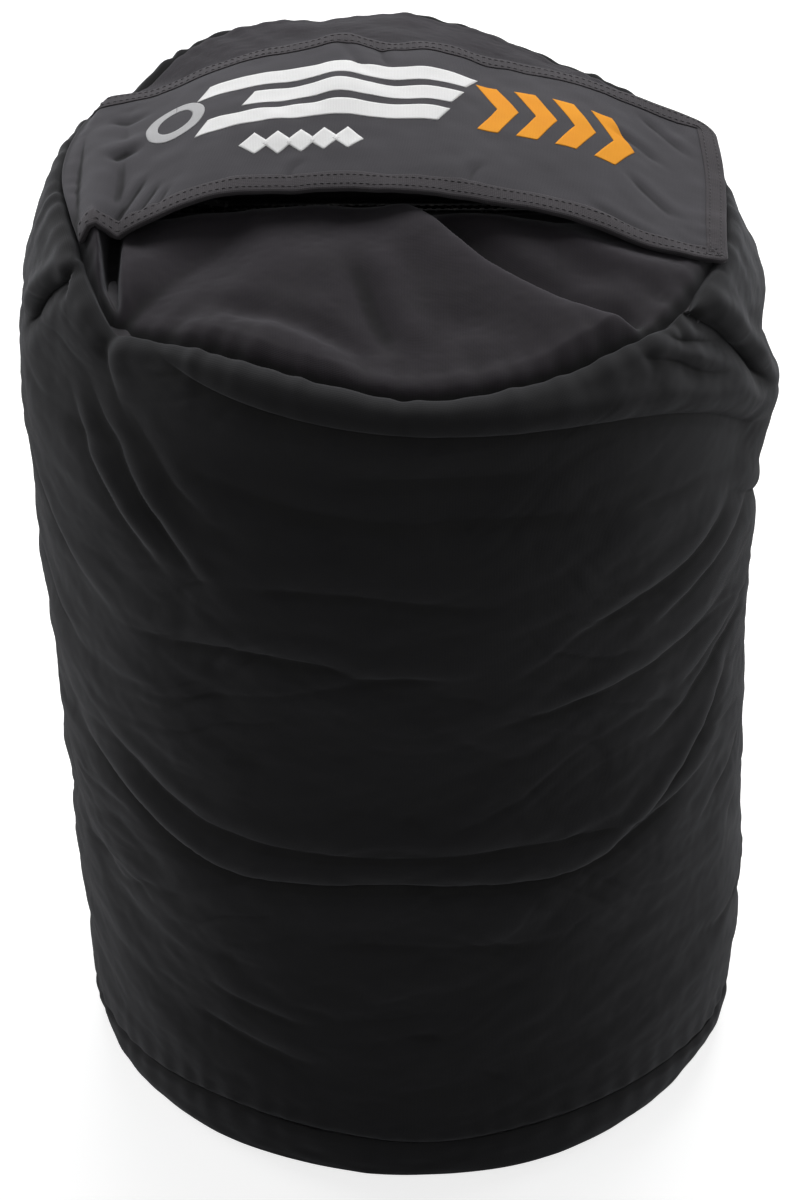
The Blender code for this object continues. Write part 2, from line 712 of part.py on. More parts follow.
def make_flap_root(cloth, bag):
    """The end of the flap that is sewn down between its fold and the rim seam."""
    fold = HINGE_X - FLAP_HALF - GAP
    columns = []
    for share in (0.0, 0.5, 1.0):
        column = []
        side = BINDING_WIDTH + ROOT_SIDE_CLEARANCE
        for y in spaced(FLAP_FRONT_Y + side, FLAP_BACK_Y - side, FLAP_ROWS + 1):
            rim = -math.sqrt((RIM_RADIUS - 2 * GAP) ** 2 - y * y)
            column.append((blend(fold, rim, share), y))
        columns.append(column)

    def below(x, y):
        near_fold = ease(x, HINGE_X - FLAP_HINGE_INSET, fold)
        resting = top_height(x, y) + 2 * GAP
        return blend(resting, rim_plane(x, y) + FLAP_HINGE_RISE - ROOT_CLOTH / 2, near_fold)

    return slab("flap_root", columns, lambda x, y: below(x, y) + ROOT_CLOTH, below, cloth, bag)


def tape_columns():
    """The part of the flap's grid that the hook tape covers."""
    xs, ys = flap_grid()
    return [[(x, y) for y in ys[3:-3]] for x in xs[-TAPE_COLUMNS - 3:-2]]


def make_hook_and_loop(hook, loop, flap, bag):
    def hook_top(x, y):
        return flap_height(x, y) - FLAP_HALF - GAP

    def loop_bottom(x, y):
        return top_height(x, y) + LOOP_CLEARANCE

    slab("hook_tape", tape_columns(), hook_top, lambda x, y: hook_top(x, y) - HOOK_TAPE, hook, flap)
    slab(
        "loop_tape", tape_columns(), lambda x, y: loop_bottom(x, y) + HOOK_TAPE, loop_bottom, loop, bag
    )


# Filling

def filling_line(depth):
    """Base and tube seen from inside, as (radius, height), a depth inside the cloth."""
    floor = CLOTH + GAP + depth
    base = inset(corner_line(), CLOTH + LINER_CLEARANCE + depth)
    base[0] = (CONTACT_RADIUS, floor)
    wall = inset(wall_line(), CLOTH + LINER_CLEARANCE + depth)
    return [(0, floor), (CONTACT_RADIUS / 2, floor)] + base[:-1] + wall[:WALL_ROWS + 1]


def filling_drop(depth):
    """How far the filling's top lies below the top panels at a radius: most under the mouth."""
    def drop(radius):
        well = 1 - ease(radius, NECK_FOOT_RADIUS, NECK_WELL_RADIUS)
        return LINER_HEADROOM + depth + NECK_WELL_DEPTH * well
    return drop


def filling_top(depth):
    """Rings of the filling's top, from the shoulder in to the foot of the neck."""
    radii = [share * RIM_RADIUS for share in FILLING_RING_SHARES] + [NECK_FOOT_RADIUS]
    return [top_station(radius, filling_drop(depth)) for radius in radii]


def neck_foot(depth):
    return top_height(0, 0) - filling_drop(depth)(0)


def make_liner(film, bag):
    """The inner bag, gathered to a neck under the mouth. Its neck stays open above the tie."""
    def skin(depth):
        stations = rings(filling_line(depth)) + filling_top(depth)
        neck = NECK_RADIUS - depth
        for width_share, height_share in NECK_SHARES:
            wide = blend(neck, NECK_FOOT_RADIUS, width_share)
            stations.append(neck_station(wide, neck_foot(depth) + height_share * NECK_HEIGHT + depth))
        return stations
    return revolve("liner_bag", skin(0), skin(LINER), film, bag)


def neck_station(radius, height):
    def place(angle):
        return Vector((radius * math.cos(angle) - BODY_LEAN, radius * math.sin(angle), height))
    return (False, place)


def make_tie(plastic, bag):
    """A cable tie round the liner's neck, with its square head."""
    height = neck_foot(0) + NECK_HEIGHT / 2
    inner = NECK_RADIUS + GAP
    half = TIE_HEAD / 3
    hoop = [[neck_station(radius, height + rise) for rise in (-half, half)]
            for radius in (inner + TIE_THICKNESS, inner)]
    tie = revolve("liner_tie", *hoop, plastic, bag)
    middle = Vector((-BODY_LEAN, -inner - TIE_THICKNESS - TIE_HEAD / 2 + TIE_THICKNESS / 2, height))
    reach = Vector((TIE_HEAD / 2, TIE_HEAD / 2, TIE_HEAD / 2))
    join(tie, block("tie_head", middle - reach, middle + reach, plastic, bag))
    return tie


def make_sand(sand, bag):
    depth = LINER + GAP
    stations = rings(filling_line(depth)) + filling_top(depth) + [top_station(0, filling_drop(depth))]
    return revolve("sand_fill", stations, [], sand, bag)


def build():
    clear_scene()
    body_cloth = material("body_cloth", (0.022, 0.022, 0.024), 0.85)
    flap_cloth = material("flap_cloth", (0.045, 0.044, 0.047), 0.8)
    tape = material("binding_tape", (0.052, 0.047, 0.045), 0.9)
    hook = material("hook_tape", (0.02, 0.02, 0.02), 0.95)
    metal = material("zip_metal", (0.06, 0.06, 0.065), 0.4, 0.9)
    film = material("liner_film", (0.62, 0.62, 0.58), 0.5)
    plastic = material("tie_plastic", (0.03, 0.03, 0.03), 0.5)
    sand = material("sand", (0.55, 0.44, 0.30), 0.95)

    bag = pivot("bag", Vector())
    flap = pivot("flap_hinge", Vector((HINGE_X - BODY_LEAN, 0, HINGE_HEIGHT + FLAP_HALF)), bag)
    slider = pivot("zip_slide", zip_place(SLIDER_REST, 0, 0), bag)
    pull = pivot("pull_hinge", zip_place(SLIDER_REST, 0, PIN_HEIGHT), slider)

    make_side_wall(body_cloth, bag)
    make_base(body_cloth, bag)
    make_base_seam_tape(tape, bag)
    make_rim_seam_tape(tape, bag)
    make_top_panel("top_panel_front", -1, body_cloth, bag)
    make_top_panel("top_panel_back", 1, body_cloth, bag)
    for name, side in (("front", -1), ("back", 1)):
        make_zip_tape(f"zip_tape_{name}", side, tape, bag)
        make_zip_teeth(f"zip_teeth_{name}", side, metal, bag)
    make_zip_stops(metal, bag)
    make_slider(metal, slider)
    make_pull(metal, pull)
    make_flap_cloths(flap_cloth, flap)
    make_flap_binding(tape, flap)
    make_flap_root(flap_cloth, bag)
    make_hook_and_loop(hook, hook, flap, bag)
    make_liner(film, bag)
    make_tie(plastic, bag)
    make_sand(sand, bag)


build()
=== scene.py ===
"""Looks of the strongman sandbag: cloth with its folds and puckered seams, the bound flap with its
stitches and print, woven, taped and metal finishes, studio light and the camera.

Metres, +Z up. The front is -Y. An angle is measured about the bag's axis from +X, so -90 is the front.
"""

import functools
import math

import bmesh
import bpy
import numpy as np
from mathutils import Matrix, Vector


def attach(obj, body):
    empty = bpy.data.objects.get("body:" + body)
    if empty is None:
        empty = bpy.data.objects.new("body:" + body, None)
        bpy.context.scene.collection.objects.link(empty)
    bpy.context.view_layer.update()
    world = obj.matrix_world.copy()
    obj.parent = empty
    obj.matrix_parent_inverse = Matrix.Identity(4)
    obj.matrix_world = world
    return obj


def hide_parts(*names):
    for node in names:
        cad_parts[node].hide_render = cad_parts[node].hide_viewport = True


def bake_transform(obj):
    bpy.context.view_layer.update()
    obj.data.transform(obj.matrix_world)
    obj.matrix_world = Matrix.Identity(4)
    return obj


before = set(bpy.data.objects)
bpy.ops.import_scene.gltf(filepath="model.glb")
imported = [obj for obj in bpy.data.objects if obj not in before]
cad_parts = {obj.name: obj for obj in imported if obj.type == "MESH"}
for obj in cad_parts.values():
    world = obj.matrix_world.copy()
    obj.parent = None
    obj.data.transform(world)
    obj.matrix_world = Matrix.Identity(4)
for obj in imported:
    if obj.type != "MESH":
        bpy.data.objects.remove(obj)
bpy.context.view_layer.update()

# Camera: its place, how far it looks down in degrees, and its lens and sensor in millimetres
CAMERA_PLACE = (-0.0077, -2.1388, 1.6577)
CAMERA_DOWN = 32.5
CAMERA_LENS = 126.0
CAMERA_SENSOR = 36.0

# The bag's axis: how far it leans along X, and over which heights
LEAN = -0.012
LEAN_START = 0.0784
LEAN_END = 0.448

# Tube, by height: its outside radius, as the mean of its left and right sides, and half their difference
TUBE_LINE = (
    (0.03, 0.2008), (0.05, 0.2024), (0.075, 0.2045), (0.11, 0.2058), (0.16, 0.2068),
    (0.22, 0.2077), (0.28, 0.2081), (0.34, 0.2105), (0.4, 0.2139), (0.44, 0.2148),
    (0.48, 0.2138), (0.5, 0.2126), (0.53, 0.209),
)
TUBE_SKEW = ((0.03, 0.001), (0.1, 0.0), (0.2, -0.0018), (0.3, -0.0005), (0.4, 0.0015), (0.53, 0.0))
# Shoulder: a curve from the tube at SHOULDER_START to the rim seam. Its second point lies this far below
# the rim, higher at the front and further in at the sides. Its third lies a reach out from the rim and
# a drop below it, both by angle in degrees.
SHOULDER_START = 0.5
SHOULDER_SIDE_DROP = 0.022
SHOULDER_FRONT_RISE = 0.009
SHOULDER_FRONT_WIDTH = 42
SHOULDER_SIDE_IN = 0.0048
SHOULDER_REACHES = (
    (-150, 0.0155), (-120, 0.019), (-90, 0.0205), (-50, 0.0185), (-22, 0.012), (0, 0.0095),
    (30, 0.0092), (60, 0.011), (90, 0.011), (120, 0.0105), (145, 0.009), (170, 0.01), (190, 0.012),
)
SHOULDER_DROPS = (
    (-150, 0.0035), (-90, 0.0014), (-45, 0.0026), (-15, 0.0055), (45, 0.0065), (90, 0.0065),
    (145, 0.0075), (180, 0.006),
)

# Rim seam and base seam by angle in degrees
RIM_HEIGHTS = (
    (-159, 0.571), (-155, 0.5658), (-149, 0.5596), (-145, 0.5535), (-141, 0.5473), (-136, 0.55),
    (-127, 0.5555), (-118, 0.556), (-107, 0.5535), (-97, 0.549), (-88, 0.5445), (-80, 0.5445),
    (-70, 0.546), (-58, 0.548), (-48, 0.5515), (-38, 0.551), (-28, 0.5555), (-10, 0.5585),
    (10, 0.5615), (26, 0.5665), (38, 0.57), (50, 0.5728), (60, 0.5752), (68, 0.5812), (74, 0.5862),
    (80, 0.59), (87, 0.5935), (93, 0.5935), (99, 0.5915), (105, 0.5908), (111, 0.5938), (117, 0.5952),
    (123, 0.5946), (129, 0.5922), (135, 0.5868), (141, 0.579), (148, 0.579), (156, 0.582),
    (165, 0.5815), (174, 0.5798), (182, 0.5786), (189, 0.578), (194, 0.5748),
)
RIM_RADII = (
    (-158, 0.1855), (-150, 0.189), (-141, 0.191), (-133, 0.187), (-124, 0.184), (-112, 0.1845),
    (-98, 0.1875), (-88, 0.19), (-50, 0.19), (0, 0.19), (90, 0.19), (150, 0.189),
    (180, 0.187), (194, 0.1845),
)
BASE_SEAM_HEIGHTS = (
    (-163, 0.033), (-143, 0.038), (-125, 0.044), (-105, 0.042), (-88, 0.038), (-66, 0.042),
    (-38, 0.041), (-20, 0.034), (20, 0.038), (70, 0.04), (120, 0.037), (165, 0.035),
)
CONTACT_RADIUS = 0.177
CLOTH_THICKNESS = 0.0012

# Top: crown, and the level floor of the gutter along the mouth, as in the CAD part
RIM_PLANE = 0.5695
RIM_SLOPE = 0.1368
RIM_FALL = 0.0526
CROWN = 0.0315
RIM_RADIUS = 0.19
MOUTH_FLOOR = 0.5615
MOUTH_HALF_LENGTH = 0.115
MOUTH_SHIFT = -0.022
MOUTH_HALF_WIDTH = 0.009
GUTTER_FLAT = 0.023
GUTTER_HALF = 0.06

# Flap: its two long edges as (x, height), where they lie across the bag, and its ends
FLAP_FRONT_Y = -0.065
FLAP_BACK_Y = 0.075
FLAP_FRONT_EDGE = (
    (-0.1875, 0.569), (-0.1856, 0.574), (-0.1809, 0.5812), (-0.1753, 0.5824), (-0.1707, 0.5802),
    (-0.1652, 0.5758), (-0.1625, 0.5752), (-0.159, 0.5776), (-0.1467, 0.5842), (-0.1319, 0.5912),
    (-0.117, 0.5974), (-0.1004, 0.6014), (-0.0634, 0.6036), (-0.034, 0.6045), (-0.006, 0.603),
    (0.021, 0.6008), (0.049, 0.596), (0.082, 0.588), (0.105, 0.58), (0.127, 0.5695),
    (0.15, 0.5615), (0.177, 0.5575),
)
FLAP_BACK_EDGE = (
    (-0.187, 0.589), (-0.1724, 0.5925), (-0.1578, 0.5955), (-0.1461, 0.5985), (-0.1226, 0.6096),
    (-0.0992, 0.6182), (-0.0818, 0.6235), (-0.0662, 0.626), (-0.0546, 0.6298), (-0.044, 0.6338),
    (-0.036, 0.634), (-0.0258, 0.6305), (-0.013, 0.6272), (0.0087, 0.6282), (0.022, 0.6254),
    (0.0411, 0.618), (0.0608, 0.6135), (0.0858, 0.608), (0.1151, 0.5985), (0.1445, 0.5865),
    (0.168, 0.577), (0.177, 0.5725),
)
FLAP_END = 0.177
FLAP_CORNER = 0.012
FLAP_THICKNESS = 0.0022
BINDING_WIDTH = 0.0115
BINDING_THICKNESS = 0.0007
BINDING_WAVE = 0.00012
BINDING_WAVE_PITCH = 0.0034


def smooth(points, period=None):
    """A function through (place, value) points, in smooth cubic pieces. It may repeat with a period."""
    places, values = np.array(points, float).T
    if period:
        places = np.concatenate([places - period, places, places + period])
        values = np.tile(values, 3)
    slopes = np.gradient(values, places)
    low = places[0] if not period else places[len(places) // 3]

    def read(at):
        at = np.asarray(at, float)
        at = (at - low) % period + low if period else np.clip(at, places[0], places[-1])
        index = np.clip(np.searchsorted(places, at, side="right") - 1, 0, len(places) - 2)
        width = places[index + 1] - places[index]
        t = (at - places[index]) / width
        return (
            values[index] * (2 * t ** 3 - 3 * t ** 2 + 1)
            + slopes[index] * width * (t ** 3 - 2 * t ** 2 + t)
            + values[index + 1] * (3 * t ** 2 - 2 * t ** 3)
            + slopes[index + 1] * width * (t ** 3 - t ** 2)
        )

    return read


def ease(value, start, end):
    share = np.clip((np.asarray(value, float) - start) / (end - start), 0, 1)
    return share * share * (3 - 2 * share)


def blend(first, second, share):
    return first + (second - first) * share


def bump(distance, width):
    return np.exp(-(distance / width) ** 2)


def ripples(u, v, columns, rows, seed):
    """Soft noise between -1 and 1 on a lattice: u and v run from 0 to 1, and u repeats."""
    lattice = np.random.default_rng(seed).uniform(-1, 1, (rows + 3, columns))
    across, up = (u % 1) * columns, np.clip(v, 0, 1) * rows
    i, j = np.floor(across).astype(int), np.floor(up).astype(int)
    s, t = across - i, up - j
    s, t = s * s * (3 - 2 * s), t * t * (3 - 2 * t)
    near, far = i % columns, (i + 1) % columns
    low = blend(lattice[j, near], lattice[j, far], s)
    high = blend(lattice[j + 1, near], lattice[j + 1, far], s)
    return blend(low, high, t)


def traced(points, steps=10):
    """A smooth line through a few points."""
    points = np.array(points, float)
    at = np.arange(len(points))
    fine = np.linspace(0, len(points) - 1, (len(points) - 1) * steps + 1)
    return np.stack([smooth(np.stack([at, points[:, axis]], 1))(fine) for axis in (0, 1)], 1)


def beside(u, v, line):
    """For each place: its signed distance from a line (positive on its left), how far along the line it
    lies, and the direction from the line to it."""
    best = np.full(u.shape, np.inf)
    side, along, away_u, away_v = (np.zeros(u.shape) for _ in range(4))
    steps = np.linalg.norm(np.diff(line, axis=0), axis=1)
    total = steps.sum()
    walked = 0.0
    for start, end, step in zip(line, line[1:], steps):
        du, dv = (end - start) / step
        a = np.clip((u - start[0]) * du + (v - start[1]) * dv, 0, step)
        pu, pv = u - start[0] - a * du, v - start[1] - a * dv
        distance = np.hypot(pu, pv)
        nearer = distance < best
        best = np.where(nearer, distance, best)
        side = np.where(nearer, np.sign(du * pv - dv * pu), side)
        along = np.where(nearer, (walked + a) / total, along)
        away_u, away_v = np.where(nearer, pu, away_u), np.where(nearer, pv, away_v)
        walked += step
    safe = np.maximum(best, 1e-9)
    return best * side, along, away_u / safe, away_v / safe


def hollows(height, closed, reach=6, scale=0.0012):
    """How far each point of a grid lies above (up to 2) or below (down to -2) its neighbours' mean."""
    weights = np.hanning(2 * reach + 3)[1:-1]
    weights /= weights.sum()
    mean = height
    for axis in (0, 1):
        padding = [(0, 0), (0, 0)]
        padding[axis] = (reach, reach)
        wide = np.pad(mean, padding, mode="wrap" if closed and axis == 1 else "edge")
        size = height.shape[axis]
        parts = [np.take(wide, range(k, k + size), axis) * w for k, w in enumerate(weights)]
        mean = sum(parts)
    return np.clip((height - mean) / scale, -2, 2)


def tapered(along, start, end):
    """Fades in over the first share of a line's length and out over the last one."""
    return ease(along, 0, start) * (1 - ease(along, 1 - end, 1))


def unit(vectors):
    return vectors / np.maximum(np.linalg.norm(vectors, axis=-1, keepdims=True), 1e-12)


def walked_along(points):
    """How far each point lies along the line through the points."""
    return np.concatenate([[0], np.cumsum(np.linalg.norm(np.diff(points, axis=0), axis=1))])


def near_line(u, v, points, steps=6):
    """Each place's signed distance from a smooth line through the points, and how far along it lies."""
    return beside(u, v, traced(points, steps))[:2]


def near_seam(distance, reach, start=0.003):
    """Falls off away from a seam, from just beside it."""
    return np.exp(-distance / reach) * ease(distance, 0, start)


def puckers(angle, count, uneven=1.0, phase=0.0):
    """Gathers of the cloth beside a seam: count of them round the bag, made uneven by soft noise."""
    wobble = 2.2 * ripples(angle / 360, 0 * angle, 40, 2, 15)
    return np.sin(np.radians(angle) * count + uneven * wobble + phase)


def mesh_object(name, points, faces, uvs=None, fold=None):
    data = bpy.data.meshes.new(name)
    data.from_pydata(points.tolist(), [], faces.tolist())
    if uvs is not None:
        layer = data.uv_layers.new(name="cloth")
        layer.data.foreach_set("uv", uvs.astype(np.float32).ravel())
    # the fold attribute holds painted shade and highlight for the cloth's colour
    if fold is not None:
        layer = data.attributes.new("fold", "FLOAT", "POINT")
        layer.data.foreach_set("value", fold.astype(np.float32).ravel())
    data.shade_smooth()
    return add_object(name, data)


def add_object(name, data):
    made = bpy.data.objects.new(name, data)
    bpy.context.scene.collection.objects.link(made)
    return made


def grid_faces(rows, columns, closed):
    """Quads of a grid of points kept row by row, and the same quads on a grid that isn't closed, for UVs."""
    j, i = np.meshgrid(np.arange(rows - 1), np.arange(columns if closed else columns - 1), indexing="ij")
    j, i = j.ravel(), i.ravel()
    low, high, right = j * columns, (j + 1) * columns, (i + 1) % columns
    faces = np.stack([low + i, low + right, high + right, high + i], 1)
    return faces, np.stack([j, i, j, i + 1, j + 1, i + 1, j + 1, i], 1).reshape(-1, 4, 2)


def grid_object(name, points, closed=False, fold=None, flip=False, uv=None):
    """A sheet over a grid of points. Its UVs are distances along the cloth, in metres."""
    rows, columns = points.shape[:2]
    faces, corners = grid_faces(rows, columns, closed)
    if uv is None:
        ring = np.concatenate([points, points[:, :1]], 1) if closed else points
        across, up = walked_along(ring[rows // 2]), walked_along(ring[:, ring.shape[1] // 2])
        uv = np.stack(np.broadcast_arrays(across[None, :], up[:, None]), 2)
    uvs = uv[corners[..., 0], corners[..., 1]]
    if flip:
        faces, uvs = faces[:, ::-1], uvs[:, ::-1]
    fold = None if fold is None else fold.ravel()
    return mesh_object(name, points.reshape(-1, 3), faces, uvs.reshape(-1, 2), fold)


def thicken(made, thickness, offset=-1.0):
    added = made.modifiers.new("thickness", "SOLIDIFY")
    added.thickness = thickness
    added.offset = offset
    return made


def normals_of(points, closed=False):
    if closed:
        wide = np.concatenate([points[:, -1:], points, points[:, :1]], 1)
        across = (wide[:, 2:] - wide[:, :-2]) / 2
    else:
        across = np.gradient(points, axis=1)
    return unit(np.cross(across, np.gradient(points, axis=0)))


# Shape of the bag

tube_radius = smooth(TUBE_LINE)
tube_skew = smooth(TUBE_SKEW)
rim_heights = smooth(RIM_HEIGHTS, 360)
rim_radii = smooth(RIM_RADII, 360)
base_seam_heights = smooth(BASE_SEAM_HEIGHTS, 360)
shoulder_reaches = smooth(SHOULDER_REACHES, 360)
shoulder_drops = smooth(SHOULDER_DROPS, 360)


def axis_at(height):
    return LEAN * ease(height, LEAN_START, LEAN_END)


def radius_at(angle, height):
    return tube_radius(height) + tube_skew(height) * np.cos(np.radians(angle))


def about_axis(angle, radius, height):
    turn = np.radians(angle)
    return np.stack([radius * np.cos(turn) + axis_at(height), radius * np.sin(turn), height], -1)


def angle_of(x, y):
    """The angle of a place on the top, in the bag's frame."""
    return np.degrees(np.arctan2(y, x - LEAN))


def all_round(columns):
    return np.linspace(-180, 180, columns, endpoint=False)


# Folds of the tube: a line of (angle, height) in degrees and millimetres; the valley's depth and width
# and the height of the roll of cloth above it, in millimetres; and the shares of its length over which
# the fold fades in and out
WALL_FOLDS = (
    # the sharp crease from the top's right corner round to the right side
    (((-38, 558), (-32, 550), (-25.5, 531), (-20, 510), (-15.5, 491), (-12.5, 479), (-9.8, 468),
      (-7, 457)), 12, 4.6, 5, 0.06, 0.3),
    # the small crease above it, and the short one under the seam's knot
    (((-42, 550), (-35, 540), (-28, 528), (-20, 515), (-13, 502)), 3.2, 3, 2, 0.1, 0.6),
    (((-48, 547), (-41, 537), (-35, 522), (-27, 508), (-19, 497)), 2.6, 3.4, 1.8, 0.1, 0.6),
    # the lower edge of the shoulder, where the cloth hangs over
    (((-140, 552), (-128, 549), (-118, 543), (-103, 536), (-88, 531), (-74, 527), (-58, 520),
      (-44, 508), (-32, 490), (-22, 468), (-13, 448), (-6, 437), (0, 431)),
     5.2, 5.4, 4.2, 0.16, 0.2),
    (((-126, 497), (-112, 486), (-99, 479), (-88, 476), (-77, 476), (-62, 469), (-50, 456)),
     3.4, 6.2, 1.6, 0.3, 0.3),
    (((-104, 500), (-92, 503), (-76, 502), (-62, 494)), 2.6, 6, 1.2, 0.35, 0.35),
    (((-134, 369), (-117, 382), (-104, 384), (-90, 380)), 3, 4.8, 1.8, 0.3, 0.3),
    (((-100, 376.5), (-88, 379), (-78, 376)), 2, 4, 1, 0.35, 0.35),
    (((-118, 424), (-101, 432), (-86, 428), (-70, 418)), 2.2, 5.2, 1.2, 0.35, 0.35),
    # the two long sagging arcs low on the front
    (((-150, 300), (-137, 275), (-126, 258), (-115, 252), (-90, 252), (-68, 251),
      (-53, 248), (-36, 240)), 3.4, 4.8, 2, 0.2, 0.2),
    (((-160, 272), (-148, 258), (-138, 246), (-129, 233), (-119, 225), (-105, 229),
      (-90, 233), (-68, 226), (-57, 228), (-48, 235), (-37, 246), (-22, 262)),
     6.6, 4.6, 3.4, 0.18, 0.25),
    (((-60, 226), (-50, 242), (-41, 258), (-30, 283), (-18, 312)),
     5.2, 4.2, 3.2, 0.25, 0.35),
    (((-126, 201), (-107, 215), (-91, 220), (-75, 213), (-57, 194), (-41, 184)),
     -1.4, 6, 0, 0.3, 0.3),
    (((-112, 186), (-92, 190), (-74, 184), (-60, 172)), 1.8, 6, 0.8, 0.35, 0.35),
    # short diagonals on the right
    (((-80, 337), (-65, 342), (-53, 346), (-36, 352), (-20, 366)),
     3.6, 4.8, 2.4, 0.35, 0.3),
    (((-66, 388), (-53, 397), (-37, 408), (-22, 424)), 3.6, 5, 2.2, 0.35, 0.3),
    (((-52, 372), (-38, 384), (-24, 398), (-10, 402)), 2.8, 4.2, 1.8, 0.35, 0.3),
    (((-44, 312), (-30, 326), (-14, 342), (0, 348)), 3.4, 4.2, 2, 0.35, 0.3),
    (((-52, 292), (-40, 302), (-26, 318), (-12, 326)), 2.6, 4, 1.6, 0.35, 0.3),
    (((-34, 205), (-20, 222), (-6, 236)), 2.8, 4.5, 1.8, 0.4, 0.4),
    (((-30, 436), (-16, 408), (-4, 384), (8, 372)), 3.4, 4, 2, 0.4, 0.4),
    (((-24, 176), (-10, 190), (4, 198)), 2.2, 4.5, 1.4, 0.4, 0.4),
    # diagonals on the upper left
    (((-146, 523), (-141, 505), (-136, 491), (-132, 475), (-124, 443), (-116, 408)),
     3.6, 4, 2.4, 0.2, 0.4),
    (((-151, 512), (-145, 490), (-139, 468), (-131, 436), (-124, 414)),
     3, 3.8, 2, 0.3, 0.4),
    (((-136, 520), (-130, 500), (-124, 480), (-117, 462)), 2.2, 4.4, 1.2, 0.3, 0.4),
    (((-141, 546), (-140, 534), (-137, 516), (-132, 498)), 3, 4.4, 1.2, 0.15, 0.6),
    (((-155, 562), (-160, 545), (-165, 522), (-170, 500)), 7.2, 4, 4, 0.03, 0.4),
    (((-176, 470), (-166, 430), (-154, 398), (-140, 376)), 3, 5, 1.8, 0.35, 0.4),
    (((-184, 402), (-172, 366), (-158, 338), (-142, 322)), 3.2, 5, 2, 0.35, 0.4),
    (((-186, 330), (-170, 306), (-156, 294)), 2.6, 5, 1.6, 0.35, 0.4),
    (((-168, 452), (-158, 420), (-147, 392)), 2.4, 4.4, 1.4, 0.35, 0.4),
    # low on the left, and round the back
    (((-133, 112), (-120, 104), (-103, 90)), 2.4, 5.5, 1.4, 0.35, 0.35),
    (((-128, 139), (-117, 130), (-104, 122)), 2, 5, 1.2, 0.35, 0.35),
    (((34, 470), (58, 452), (82, 455), (104, 470)), 3.6, 5.5, 2.4, 0.3, 0.3),
    (((20, 350), (44, 332), (72, 328), (100, 338), (124, 356)), 3.4, 5.5, 2.2, 0.3, 0.3),
    (((60, 246), (88, 230), (116, 232), (142, 250)), 5.2, 5.2, 3, 0.25, 0.25),
    (((14, 232), (34, 214), (58, 208), (80, 214)), 3.4, 5, 2.2, 0.3, 0.3),
    (((108, 420), (128, 404), (150, 410), (168, 430)), 3.4, 5.2, 2.2, 0.3, 0.3),
    (((128, 176), (150, 164), (172, 170), (190, 184)), 3, 5.2, 2, 0.3, 0.3),
    (((50, 130), (74, 118), (98, 116), (120, 124)), 2.6, 5.2, 1.6, 0.3, 0.3),
    (((30, 530), (62, 536), (96, 548), (130, 552), (160, 544)), 4, 5.6, 3, 0.3, 0.3),
    (((62, 505), (70, 486), (80, 470)), 2.4, 4.4, 1.6, 0.3, 0.4),
    (((128, 515), (134, 490), (144, 466)), 2.6, 4.4, 1.6, 0.3, 0.4),
)
# The radius that turns an angle into a length round the tube, the deepest that cloth may sink, how much
# of a fold's depth its roll slides down and at most, the depth of a crease that gets the full painted shade,
# and how far round a fold its form is worked out
ARC_RADIUS = 0.21
LEAST_RELIEF = -0.0078
OVERLAP_SHARE = 0.55
MOST_OVERLAP = 0.007
CREASE_DEPTH = 0.0045
FOLD_REACH = 0.045


def on_arc(points):
    """A line of (angle, height) as lengths round the tube and up it."""
    return [(math.radians(angle) * ARC_RADIUS, height) for angle, height in points]


def fold_field(u, v, line, depth, width, roll, start, end):
    """One fold: a narrow valley, the roll of cloth above it and a low swell below it; how far the roll
    slides down over the valley, as steps along u and v; and the painted shade that darkens the valley."""
    depth, width, roll = depth / 1000, width / 1000, roll / 1000
    distance, along, away_u, away_v = beside(u, v, line)
    if line[-1, 0] < line[0, 0]:
        distance = -distance
    strength = tapered(along, start, end)
    deep = np.where(distance > 0, 0.6 * width, width)
    valley = 0.55 * np.exp(-(np.sqrt(distance ** 2 + (0.3 * deep) ** 2) - 0.3 * deep) / deep)
    valley += 0.45 * bump(distance + 0.8 * width, 2.6 * width)
    above = bump(distance - 2.2 * width, 1.7 * width)
    below = bump(distance + 3.0 * width, 2.4 * width)
    relief = strength * (roll * above + 0.3 * roll * below - depth * valley)
    steps = np.clip(distance / width, 0, None)
    slide = strength * OVERLAP_SHARE * np.clip(depth, 0, MOST_OVERLAP) * steps * np.exp(1 - steps)
    # painted shade: darker along the valley, the more so the deeper the crease
    shade = -strength * np.clip(depth / CREASE_DEPTH, 0, 2) * bump(distance + 0.4 * width, 1.1 * width)
    return relief, -away_u * slide, -away_v * slide, shade


def all_folds(angle, height):
    relief, slide_u, slide_v, shade = (np.zeros(angle.shape) for _ in range(4))
    for line, *sizes in WALL_FOLDS:
        middle = np.mean([at for at, _ in line])
        flat = traced(on_arc([(at - middle, up / 1000) for at, up in line]), 6)
        u = np.radians((angle - middle + 180) % 360 - 180) * ARC_RADIUS
        low, high = flat.min(0) - FOLD_REACH, flat.max(0) + FOLD_REACH
        near = (u > low[0]) & (u < high[0]) & (height > low[1]) & (height < high[1])
        found = fold_field(u[near], height[near], flat, *sizes)
        for total, part in zip((relief, slide_u, slide_v, shade), found):
            total[near] += part
    return relief, slide_u, slide_v, shade


# Fine wrinkles: seed, columns and rows of the noise, how narrow, how deep, and how far they follow the sag
WRINKLES = (
    (71, 9, 22, 0.2, 0.0013, 1.0), (72, 12, 32, 0.2, 0.001, -0.8), (73, 18, 48, 0.22, 0.0007, 1.3),
    (74, 26, 70, 0.24, 0.0004, -1.1),
)
# The roll that hangs over on the right and the hollow under the shoulder, as lines of (angle, height)
RIGHT_ROLL = (
    (-36, 0.532), (-26, 0.51), (-17, 0.488), (-8, 0.467), (0, 0.455), (10, 0.452), (24, 0.456), (40, 0.47),
)
SAG_LINE = (
    (-165, 0.505), (-140, 0.512), (-118, 0.508), (-103, 0.503), (-88, 0.499), (-74, 0.496), (-58, 0.49),
    (-40, 0.474), (-26, 0.448), (-12, 0.418), (-4, 0.406),
)
